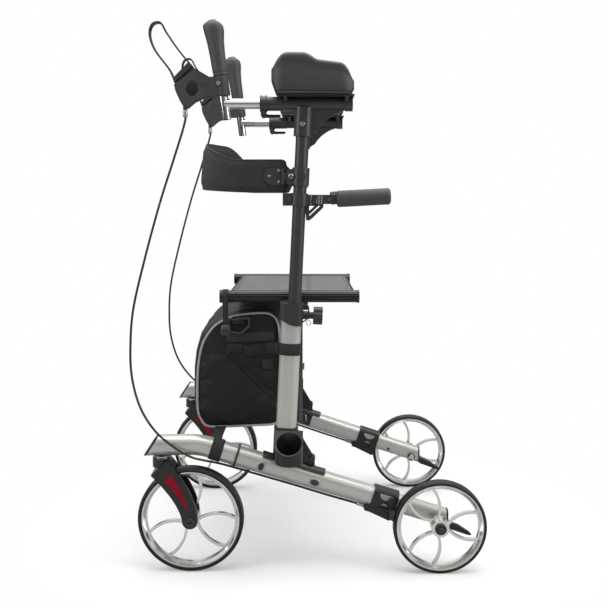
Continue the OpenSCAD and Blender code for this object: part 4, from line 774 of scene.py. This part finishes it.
def panel_band(name, side, a, b, steps, lift, section, wide, finish):
    """A flat band sewn straight over a side panel."""
    line = on_panel(SIDES[side], straight(a, b, steps), lift)
    on_frame(sweep(f"{name}_{side}", line, section, wide, finish))


for side, q in SIDES.items():
    edge = line_through([mm(x, q * (BAG_Y + 1.2), z) for x, z in BAG_SIDE], 6, closed=True)
    piping = sweep(f"bag_piping_{side}", edge, disc(2.6, 10), ACROSS, silver_piping, closed=True)
    on_frame(piping)
    panel_band("bag_web", side, (-191, 501), (-84, 503), 14, 1.4, band(23, 2.2), UP, grey_webbing)
    panel_band("bag_web_low", side, (-191, 477), (-152, 475), 8, 1.1, band(22, 1.6), UP, webbing)
    panel_band("pocket_hem", side, (-191, 467), (-86, 363), 20, 1.6, band(5, 2), SLANT, bag_gusset)
    panel_band("bag_patch", side, (-112, 439), (-87, 440), 4, 1.6, band(23, 2.0), UP, hook_patch)
    loop = line_through([mm(x, q * (BAG_Y + 9), z) for x, z in D_RING], 6, closed=True)
    on_frame(sweep(f"bag_ring_{side}", loop, disc(2.7, 10), ACROSS, grip_rubber, closed=True))
    panel_band("ring_keeper", side, (-165, 549), (-164, 532), 5, 5, band(27, 8), ALONG, webbing)
print("bag trim pieces:", 7 * len(SIDES))

# %% [markdown]
# A webbing tie goes from each side panel to the upright and once round it. The loop rides its own frame; the
# strip belongs to the bag. Webbing under tension lies flat, so both are swept bands.

# %% Bag ties
TIE = [(-152, BAG_Y + 8.4, 471), (-120, BAG_Y + 8, 474), (-98, BAG_Y + 9, 477), (-84, 210, 481),
       (-77, 232, 484), (-73.4, 250, 486)]


def oval_loop(side, half_x, half_y, z):
    """A closed line round the oval upright: half circles joined by flats."""
    flat = half_x - half_y
    return [spot(UPRIGHT, side, math.copysign(flat, math.cos(a)) + half_y * math.cos(a),
                 half_y * math.sin(a), z) for a in turns(40)]


for side, q in SIDES.items():
    lean = heading(UPRIGHT, side, 0, 0, 1)
    loop = oval_loop(side, 23.6, 18.1, 237)
    tie = sweep(f"{side}_tie_loop", loop, band(26, 1.6), lean, webbing, closed=True)
    settle(tie, f"{side}_frame", "webbing")
    strip = line_through([mm(x, q * y, z) for x, y, z in TIE], 8)
    on_frame(sweep(f"{side}_tie_strip", strip, band(25, 1.6), UP, webbing))
print("bag ties:", len(SIDES))

# %% [markdown]
# The back belt is a padded band in a U between the posts, low at the sides and taller across the front. Its
# middle is quilted full and its edges are bound thin. The section is a flat pillow, carried along half an
# ellipse with straight ends; the solver then lifts the padding between the bound edges.

# %% Back belt
BELT_END, BELT_TURN, BELT_BOW, BELT_Y, BELT_FOOT = -50.2, -152, 107, 244.7, 827.3
BELT_LEAN, BELT_ROUND = 9, turns(40)
# Height of the upper edge over the foot, by the angle round the front, on the near and the far side
EDGE_NEAR = [(0, 69), (11, 70), (19, 75), (29, 82), (41, 91), (54, 99), (62, 105), (90, 118)]
EDGE_FAR = [(0, 69), (5, 71), (12, 79), (19, 91), (24, 100), (30, 110), (36, 117), (44, 121), (70, 121),
            (90, 118)]
half_path = [(BELT_END + (BELT_TURN - BELT_END) * k, BELT_Y, 0) for k in np.linspace(0, 0.97, 34)]
half_path += [(BELT_TURN - BELT_BOW * math.sin(a), BELT_Y * math.cos(a), math.degrees(a))
              for a in np.radians(np.linspace(0, 90, 50))]
belt_path = half_path + [(x, -y, turn) for x, y, turn in half_path[-2::-1]]


def belt_edges(i):
    """Lower and upper edge of the belt at a step of its path; the photo shows it slack on the near side."""
    x, y, turn = belt_path[i]
    end = max(0, 1 - (BELT_END - x) / 14) ** 2
    table = EDGE_NEAR if y < 0 else EDGE_FAR
    edge = np.mean(np.interp([turn - 4, turn - 2, turn, turn + 2, turn + 4], *zip(*table)))
    return BELT_FOOT + turn / 12 + 13 * end, BELT_FOOT + float(edge) - 20 * end


def belt_frame(i):
    """Place and outward direction at a step of the path."""
    a, b = belt_path[max(i - 1, 0)], belt_path[min(i + 1, len(belt_path) - 1)]
    way = Vector((b[0] - a[0], b[1] - a[1], 0)).normalized()
    return Vector((belt_path[i][0], belt_path[i][1], 0)), Vector((way.y, -way.x, 0))


def belt_point(i, share, off):
    """A point at a share of the belt's height, standing off its middle; the front leans back a little."""
    place, out = belt_frame(i)
    foot, top = belt_edges(i)
    p = place + out * off
    lean = BELT_LEAN * share * math.sin(math.radians(belt_path[i][2]))
    return mm(p.x + lean, p.y, foot + (top - foot) * share)


def squared(v, power):
    """A sine or cosine with steeper flanks, which makes a rounded box of a circle."""
    return math.copysign(abs(v) ** power, v)


def belt_ring(i):
    """One section of the belt: full in the middle, thin at its edges and its ends."""
    taper = min(1, i / 3, (len(belt_path) - 1 - i) / 3)
    ring = []
    for a in BELT_ROUND:
        rise = 0.5 - 0.5 * squared(math.cos(a), 0.35)
        edge = min(rise, 1 - rise)
        full = (1.6 + 2.4 * min(1, edge / 0.16) ** 0.6) * (0.5 + 0.5 * taper)
        ripple = 0.25 * noise.noise((i * 0.35, rise * 6, 1)) if 0.1 < rise < 0.9 else 0
        ring.append(belt_point(i, rise, squared(math.sin(a), 0.35) * (full + ripple)))
    return ring


def on_post(piece):
    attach(piece, "left_post")
    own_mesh(piece)
    return piece


def belt_held(i, x, y, z):
    """The bound edges and the ends near the posts stay where they are."""
    return abs(math.cos(BELT_ROUND[i % len(BELT_ROUND)])) > 0.5 or x > -118


belt = skin("belt_pad", [belt_ring(i) for i in range(len(belt_path))], belt_cloth)
inflate(belt, belt_held, 0.02, 2.5)
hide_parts("back_belt")
on_post(belt)


def belt_line(share, lift):
    """A line along the belt at a share of its height, standing off its outer face."""
    return [belt_point(i, share, lift) for i in range(2, len(belt_path) - 2)]


for edge, share in (("lower", 0.018), ("upper", 0.982)):
    on_post(sweep(f"belt_binding_{edge}", belt_line(share, 0), disc(2.3, 10), UP, webbing))
print("belt pieces:", 3)

# %% [markdown]
# A pull strap hangs from the near rail: lifted, it folds the walker. It is a loop of webbing with a moulded
# knob. Two more straps hold things to each leg: a band near the front that ties the bag's foot, and a thin
# cable band. A strap pulled tight is a closed line round its tube, with a flat section swept along it.

# %% Pull strap and leg bands
RAIL_Y, RAIL_Z, STRAP_X, STRAP_R = -204.5, 596, -191, 15
STRAP_DROP = [(-191, -219.6, 591), (-190.6, -220.4, 564), (-190, -220, 539), (-190, -219.4, 526)]
# The knob's half width at rising heights
KNOB = [(510, 7), (511, 9.6), (514, 11.4), (521, 12), (528, 11.2), (532.5, 9), (535, 6.5)]
FOOT_TIE = [(-206, 180, 297), (-206, 200, 295.5), (-207, 232, 294.5), (-208, 255, 292.5), (-209, 268, 290.5)]


def ring_round(side, x, half_y, half_z):
    """A closed line round the sloping leg, square to it."""
    return [spot(SLOPE, side, x, half_y * math.cos(a), half_z * math.sin(a)) for a in turns(36)]


strap = [mm(STRAP_X, RAIL_Y - STRAP_R * math.sin(a), RAIL_Z + STRAP_R * math.cos(a))
         for a in np.radians(np.linspace(-170, 80, 24))]
strap += line_through([mm(*p) for p in STRAP_DROP], 6)
settle(sweep("pull_strap", strap, band(12.5, 2.2), ALONG, webbing), "brace_b", "webbing", "fold_strap")
knob = [[mm(-190 + half * squared(math.cos(a), 0.7), -219 + 0.8 * half * squared(math.sin(a), 0.7), z)
         for a in turns(32)] for z, half in KNOB]
settle(skin("pull_knob", knob, black_plastic), "brace_b", "webbing", "fold_strap")

for side, q in SIDES.items():
    foot = line_through([mm(x, q * y, z) for x, y, z in FOOT_TIE], 6)
    tie = sweep(f"{side}_bag_foot_tie", foot, band(25, 1.6), ALONG, webbing)
    on_frame(tie)
    tube = heading(SLOPE, side, 1, 0, 0)
    for name, x, half_y, half_z, section, finish in (
            ("leg_band", 38, 15.6, 24.6, band(26, 1.6), webbing),
            ("cable_band", 84, 16.8, 25.6, band(5, 1.4), black_plastic)):
        loop = ring_round(side, x, half_y, half_z)
        settle(sweep(f"{side}_{name}", loop, section, tube, finish, closed=True), f"{side}_frame", "webbing")
print("straps and bands:", 2 + 3 * len(SIDES))

# %% [markdown]
# Small fittings: oval grommets on the legs, a ferrule and an oval cover on each brake housing, a barrel
# adjuster at each brake, and a safety ring on a cord behind each collar. They are small and nearly all
# round, so a few rings or a short sweep is enough.

# %% Small fittings
LEG_FACE, GROMMET_Z = 14.05, -5
HANDLE_Y, FERRULE_X, FERRULE = 250, -271, (1002, 1000, 992, 987)
OVAL_X, OVAL_Z, OVAL_HALF, OVAL_OUT = -254, 1047, (12.8, 17), 13.4
ADJUSTER = [(100, 248.6, 140.3), (106, 248.3, 138.3), (112, 248, 136.4), (120, 247.7, 133.8)]
SAFETY_CORD = [(-20, 256, 579), (-12, 261, 584), (-7, 262, 578), (-8, 262, 562), (-13, 261, 551),
               (-20, 257, 546)]


def oval_button(side, name, s, half, thick, finish):
    """A thin oval button on the outer face of the leg."""
    rings = [[spot(SLOPE, side, s + half[0] * share * math.cos(a), LEG_FACE + lift,
                   GROMMET_Z + half[1] * share * math.sin(a)) for a in turns(28)]
             for share, lift in ((1, 0), (1, thick * 0.6), (0.9, thick), (0.05, thick))]
    return skin(f"{side}_{name}", rings, finish)


for side, q in SIDES.items():
    for name, s, half in (("grommet_front", 141, (9, 12)), ("grommet_rear", 264, (14, 9))):
        settle(oval_button(side, name, s, half, 1.6, zinc_steel), f"{side}_frame", "steel")
        inner = (half[0] * 0.72, half[1] * 0.76)
        plug = oval_button(side, name + "_plug", s, inner, 2.2, black_plastic)
        settle(plug, f"{side}_frame", "black_plastic")
    top = [mm(FERRULE_X, q * HANDLE_Y, z) for z in FERRULE]
    settle(sweep(f"{side}_ferrule", top, disc(5.2, 18), ACROSS, zinc_steel), f"{side}_handle", "steel")
    rings = [[mm(OVAL_X + OVAL_HALF[0] * share * math.cos(a), q * (HANDLE_Y + OVAL_OUT + lift),
                 OVAL_Z + OVAL_HALF[1] * share * math.sin(a)) for a in turns(36)]
             for share, lift in ((1, 0), (1, 0.3), (0.97, 0.4), (0.03, 0.4))]
    settle(skin(f"{side}_housing_badge", rings, moulded_black), f"{side}_handle", "black_plastic")
    low = [mm(x, q * y, z) for x, y, z in ADJUSTER]
    settle(sweep(f"{side}_adjuster", low, disc(4.2, 18), ACROSS, zinc_steel), f"{side}_frame", "steel")
    wire = line_through([mm(x, q * y, z) for x, y, z in SAFETY_CORD], 8)
    cord = sweep(f"{side}_safety_cord", wire, disc(1.5, 8), ACROSS, black_plastic)
    settle(cord, f"{side}_frame", "black_plastic")
    hoop = [mm(-7 + 5 * math.cos(a), q * (262 + 2 * math.sin(a)), 545 + 5.5 * math.sin(a)) for a in turns(28)]
    ring = sweep(f"{side}_safety_ring", hoop, disc(0.8, 8), ACROSS, zinc_steel, closed=True)
    settle(ring, f"{side}_frame", "steel")
print("small fittings:", 9 * len(SIDES))

# %% [markdown]
# Screws and rivets repeat, so a Geometry Nodes group sets them: every vertex of a carrier mesh gets a head,
# turned along the attribute `aim` and scaled by `size`. Copies could be placed one by one, but this way a
# head is drawn once and the rest is a list of places. The result is kept as a plain mesh for each body.

# %% Fastener heads and their node group
def group_start(name, sockets):
    group = bpy.data.node_groups.new(name, "GeometryNodeTree")
    group.interface.new_socket("Geometry", in_out="INPUT", socket_type="NodeSocketGeometry")
    ids = {key: group.interface.new_socket(key, in_out="INPUT", socket_type=kind).identifier
           for key, kind in sockets.items()}
    group.interface.new_socket("Geometry", in_out="OUTPUT", socket_type="NodeSocketGeometry")
    inlet = group.nodes.new("NodeGroupInput")
    return group, ids, {s.name: Wire(group, s) for s in inlet.outputs if s.name}


def group_end(group, shapes, material):
    solid = shapes.node("GeometryNodeRealizeInstances", None, {0: shapes})
    painted = solid.node("GeometryNodeSetMaterial", None, {"Geometry": solid, "Material": material})
    outlet = group.nodes.new("NodeGroupOutput")
    group.links.new(painted.socket, outlet.inputs[0])


heads_group, heads_ids, inlet = group_start(
    "fasteners", {"Head": "NodeSocketObject", "Material": "NodeSocketMaterial"})
base = inlet["Geometry"]
shape = base.node("GeometryNodeObjectInfo", None, {"Object": inlet["Head"]}, out="Geometry")
aim = base.node("GeometryNodeInputNamedAttribute", {"data_type": "FLOAT_VECTOR"}, {"Name": "aim"})
size = base.node("GeometryNodeInputNamedAttribute", {"data_type": "FLOAT"}, {"Name": "size"})
turn = base.node("FunctionNodeAlignRotationToVector", {"axis": "Z"}, {"Vector": aim})
heads = base.node("GeometryNodeInstanceOnPoints", None,
                  {"Points": base, "Instance": shape, "Rotation": turn, "Scale": size})
group_end(heads_group, heads, inlet["Material"])


def head_shape(name, profile, hexed=()):
    """A unit head turned from a profile; the rings named in hexed are six-sided, as a key's socket is."""
    rings = []
    for i, (r, z) in enumerate(profile):
        ring = []
        for a in turns(24):
            reach = r * 0.866 / math.cos((a % (math.pi / 3)) - math.pi / 6) if i in hexed else r
            ring.append(Vector((reach * math.cos(a), reach * math.sin(a), z)))
        rings.append(ring)
    made = skin(name, rings, zinc_steel)
    for face in made.data.polygons:
        face.use_smooth = face.normal.z > 0.25
    scene.collection.objects.unlink(made)
    return made


hex_head = head_shape("hex_head", [(1, -0.05), (1, 0.5), (0.9, 0.62), (0.3, 0.64), (0.02, 0.64)], (0, 1))
socket_head = head_shape("socket_head", [(1, -0.05), (1, 0.3), (0.93, 0.5), (0.74, 0.63), (0.5, 0.66),
                                         (0.48, 0.3), (0.02, 0.28)], (4, 5))
dome_head = head_shape("dome_head", [(1, -0.05), (1, 0.1), (0.9, 0.32), (0.66, 0.5), (0.35, 0.6),
                                     (0.02, 0.63)])
print("fastener heads:", 3)


# %% Bolts, screws and rivets
def keep_nodes(name, mesh, group, values):
    """Runs a node group on a carrier mesh and keeps what it makes as a plain piece."""
    carrier = bpy.data.objects.new(name + "_carrier", mesh)
    scene.collection.objects.link(carrier)
    modifier = carrier.modifiers.new("nodes", "NODES")
    modifier.node_group = group
    for key, value in values.items():
        modifier[key] = value
    plain = bpy.data.meshes.new_from_object(as_made(carrier))
    plain.name = name
    bpy.data.objects.remove(carrier)
    piece = bpy.data.objects.new(name, plain)
    scene.collection.objects.link(piece)
    return piece


def set_heads(name, body, head, finish, way, places):
    """Sets one kind of head at (place, radius in millimetres), all facing one way, on a body."""
    mesh = bpy.data.meshes.new(name)
    mesh.from_pydata([p for p, _ in places], [], [])
    aims = mesh.attributes.new("aim", "FLOAT_VECTOR", "POINT")
    aims.data.foreach_set("vector", list(way) * len(places))
    sizes = mesh.attributes.new("size", "FLOAT", "POINT")
    sizes.data.foreach_set("value", [r / 1000 for _, r in places])
    values = {heads_ids["Head"]: head, heads_ids["Material"]: finish}
    settle(keep_nodes(name, mesh, heads_group, values), body, "steel")


fasteners = 0
for side, q in SIDES.items():
    outward, front, inward = Vector((0, q, 0)), Vector((-1, 0, 0)), heading(SLOPE, side, 0, -1, 0)
    for name, body, head, finish, way, places in (
            ("frame_bolts", "frame", socket_head, black_paint, outward,
             [(mm(1, q * 258.2, 244), 5.5), (mm(278.5, q * 308.2, 101.5), 5)]),
            ("post_bolts", "post", socket_head, black_paint, outward,
             [(mm(-19, q * 268.6, 861), 4.6), (mm(-48, q * 259.2, 811), 4.5)]),
            ("sleeve_bolts", "post", socket_head, dark_steel, outward, [(mm(-20, q * 268.6, 971), 6)]),
            ("clamp_bolt", "post", hex_head, dark_steel, outward, [(mm(-44.6, q * 262.5, 861), 6.5)]),
            ("handle_bolt", "handle", socket_head, dark_steel, outward, [(mm(-198, q * 267.5, 1056), 4.6)]),
            ("axle_bolts", "caster", socket_head, rail_gloss, outward, [(mm(-264, q * 300.2, 115.5), 5.5)]),
            ("upright_screws", "frame", dome_head, black_plastic, front,
             [(spot(UPRIGHT, side, -22.6, 0, z), 2.4) for z in (154, 256)]),
            ("plate_rivets", "post", dome_head, dark_steel, outward,
             [(mm(x, q * 252.1, z), 3.4) for x, z in ((-91, 861), (-71, 873), (-71, 849))]),
            ("tube_screw", "frame", dome_head, black_plastic, inward,
             [(spot(SLOPE, side, 487, -11.4, -9), 4)])):
        set_heads(f"{side}_{name}", f"{side}_{body}", head, finish, way, places)
        fasteners += len(places)
print("fasteners:", fasteners)

# %% [markdown]
# Seams show as rows of stitches. A second node group walks a curve, drops a small spindle at each step, and
# turns it along the curve. A bump could fake the thread, but real spindles catch the light and throw a
# shadow. The rows are given as lines over the cloth.

# %% Stitch rows
rows_group, rows_ids, inlet = group_start("stitch_row", {
    "Spacing": "NodeSocketFloat", "Length": "NodeSocketFloat", "Radius": "NodeSocketFloat",
    "Material": "NodeSocketMaterial"})
base = inlet["Geometry"]
curve = base.node("GeometryNodeMeshToCurve", None, {"Mesh": base})
steps = curve.node("GeometryNodeCurveToPoints", {"mode": "LENGTH"},
                   {"Curve": curve, "Length": inlet["Spacing"]})
along_row = Wire(rows_group, steps.socket.node.outputs["Rotation"])
thread = base.node("GeometryNodeMeshUVSphere", None, {"Segments": 6, "Rings": 4, "Radius": 1.0}, out="Mesh")
scale = base.node("ShaderNodeCombineXYZ", None,
                  {"X": inlet["Radius"], "Y": inlet["Radius"], "Z": inlet["Length"]})
row = base.node("GeometryNodeInstanceOnPoints", None,
                {"Points": steps, "Instance": thread, "Rotation": along_row, "Scale": scale})
group_end(rows_group, row, inlet["Material"])
print("node groups:", heads_group.name, "and", rows_group.name)


# %% Seams of the seat, the bag and the belt
STITCH = {"Spacing": 0.0042, "Length": 0.0015, "Radius": 0.00035, "Material": thread_black}
SEAT_ROWS = (-171, 85, -7.5, -2.5)
PANEL_ROWS = (((-190, 492), (-85, 494)), ((-190, 510), (-85, 512)), ((-189, 463), (-84, 359)),
              ((-111, 430), (-88, 431)), ((-111, 448), (-88, 449)), ((-150, 462), (-122, 465)),
              ((-150, 480), (-122, 483)))


def stitches(name, lines):
    """Rows of stitches along lines of places."""
    spots, edges = [], []
    for line in lines:
        edges += [(len(spots) + k, len(spots) + k + 1) for k in range(len(line) - 1)]
        spots += line
    mesh = bpy.data.meshes.new(name)
    mesh.from_pydata(spots, edges, [])
    return keep_nodes(name, mesh, rows_group, {rows_ids[key]: value for key, value in STITCH.items()})


def seat_row(x):
    return [mm(x, y, seat_height(x, y) + 0.85) for y in np.linspace(-188, 188, 60)]


across_rails(stitches("seat_stitches", [seat_row(x) for x in SEAT_ROWS]))
panel_rows = [on_panel(q, straight(a, b, 16), 2.7) for q in SIDES.values() for a, b in PANEL_ROWS]
on_frame(stitches("bag_stitches", panel_rows))
on_post(stitches("belt_stitches", [belt_line(0.09, 3.75), belt_line(0.91, 3.75)]))
print("stitch pieces:", 3)

# %% [markdown]
# The floor and the light. Large area lamps stand for softboxes: one above, and one to each side, set far
# enough round that they graze the tubes and show them as round. The camera sees plain white behind, as in a
# cut-out studio picture. Mirrors would look flat if they saw only white, so reflections see a room instead:
# dark at the horizon, pale above.

# %% World
def pick(tree, ray, otherwise, chosen):
    """Shows one shader to a kind of ray and another to all other rays."""
    path = tree.nodes.new("ShaderNodeLightPath")
    mix = tree.nodes.new("ShaderNodeMixShader")
    tree.links.new(path.outputs[ray], mix.inputs[0])
    tree.links.new(otherwise, mix.inputs[1])
    tree.links.new(chosen, mix.inputs[2])
    return mix.outputs[0]


GLOW = 0.46
# Grey tones of the room by height, from the floor at 0 over the horizon at 0.5 to the ceiling at 1
ROOM = [(0.0, 0.5), (0.42, 0.3), (0.49, 0.06), (0.56, 0.12), (0.66, 0.85), (1.0, 0.8)]
world = bpy.data.worlds.new("studio")
scene.world = world
world.use_nodes = True
sky = world.node_tree
glow = sky.nodes["Background"]
glow.inputs["Color"].default_value = (1, 1, 1, 1)
glow.inputs["Strength"].default_value = GLOW
backdrop = sky.nodes.new("ShaderNodeBackground")
backdrop.inputs["Color"].default_value = (1, 1, 1, 1)
backdrop.inputs["Strength"].default_value = 1.0
aim = Wire(sky, sky.nodes.new("ShaderNodeTexCoord").outputs["Generated"])
height = aim.node("ShaderNodeSeparateXYZ", None, {0: aim}, out="Z")
tones = [(rise, (tone, tone, tone, 1)) for rise, tone in ROOM]
walls = aim.node("ShaderNodeValToRGB", {"stops": tones}, {0: 0.5 * height + 0.5})
room = sky.nodes.new("ShaderNodeBackground")
sky.links.new(walls.socket, room.inputs["Color"])
shown = pick(sky, "Is Glossy Ray", glow.outputs[0], room.outputs[0])
for ray in ("Is Camera Ray", "Is Transmission Ray"):
    shown = pick(sky, ray, shown, backdrop.outputs[0])
sky.links.new(shown, sky.nodes["World Output"].inputs[0])
print("world: white for the camera, a room for reflections")

# %% [markdown]
# The floor keeps the soft shadow between the wheels and fades to the same white further out, so no horizon
# shows. The fade is a mix between the lit floor and a plain white glow, by distance from the walker.

# %% Floor
bpy.ops.mesh.primitive_plane_add(size=14, location=(0, 2.0, 0))
floor = bpy.context.object
floor.name = "studio_floor"
floor_white, tree, shader, place = start_finish("floor_white")
floor_place = Wire(tree, tree.nodes.new("ShaderNodeNewGeometry").outputs["Position"])
split = floor_place.node("ShaderNodeSeparateXYZ", None, {0: floor_place})
x, y = (Wire(tree, split.socket.node.outputs[k]) for k in "XY")
reach = (x - 0.03) * (x - 0.03) * 2.2 + (y - 0.05) * (y - 0.05) * 2.6
fade = reach.node("ShaderNodeMapRange", {"interpolation_type": "SMOOTHSTEP"},
                  {"Value": reach, 1: 0.35, 2: 1.25})
set_shader(shader, tree, {"Base Color": (0.72, 0.72, 0.72, 1), "Roughness": 0.9, "Specular IOR Level": 0.1,
                          "Emission Color": (1, 1, 1, 1), "Emission Strength": 0.22})
white = tree.nodes.new("ShaderNodeEmission")
mixed = tree.nodes.new("ShaderNodeMixShader")
tree.links.new(fade.socket, mixed.inputs[0])
tree.links.new(shader.outputs[0], mixed.inputs[1])
tree.links.new(white.outputs[0], mixed.inputs[2])
grey = tree.nodes.new("ShaderNodeBsdfDiffuse")
grey.inputs["Color"].default_value = (0.5, 0.5, 0.5, 1)
seen = pick(tree, "Is Camera Ray", grey.outputs[0], mixed.outputs[0])
tree.links.new(seen, tree.nodes["Material Output"].inputs[0])
floor.data.materials.append(floor_white)
print("floor:", floor.name)


# %% Lamps
def softbox(name, place, aim, size, power):
    """A rectangular area lamp that looks at a place."""
    lamp = bpy.data.lights.new(name, "AREA")
    lamp.shape, lamp.size, lamp.size_y, lamp.energy = "RECTANGLE", size[0], size[1], power
    holder = bpy.data.objects.new(name, lamp)
    scene.collection.objects.link(holder)
    holder.location = place
    holder.rotation_euler = (Vector(aim) - Vector(place)).to_track_quat("-Z", "Y").to_euler()


softbox("top_light", (0.1, 0.1, 3.2), (0, 0, 0.4), (3.0, 3.0), 80)
softbox("key_light", (-2.9, -1.3, 2.0), (0, 0, 0.6), (1.6, 2.2), 36)
softbox("fill_light", (2.9, -1.3, 1.8), (0, 0, 0.6), (1.6, 2.2), 46)
print("lamps:", 3)

# %% [markdown]
# The camera stands where the photographer stood: a little over two metres to the side, at about chest
# height, looking slightly down. The picture was cropped off centre, which a small lens shift repeats.

# %% Camera
FOCAL_PIXELS, PICTURE_PIXELS, SENSOR = 875.93, 608, 36
TILT, LENS_SHIFT = 4.33, -0.0698
camera = bpy.data.cameras.new("camera")
camera.lens, camera.sensor_width = FOCAL_PIXELS / PICTURE_PIXELS * SENSOR, SENSOR
camera.shift_y = LENS_SHIFT
eye = bpy.data.objects.new("camera", camera)
scene.collection.objects.link(eye)
eye.location = mm(-16.83, -2142.6, 820.3)
eye.rotation_euler = (math.radians(90 - TILT), 0, 0)
scene.camera = eye
print("camera at", [round(v, 3) for v in eye.location])
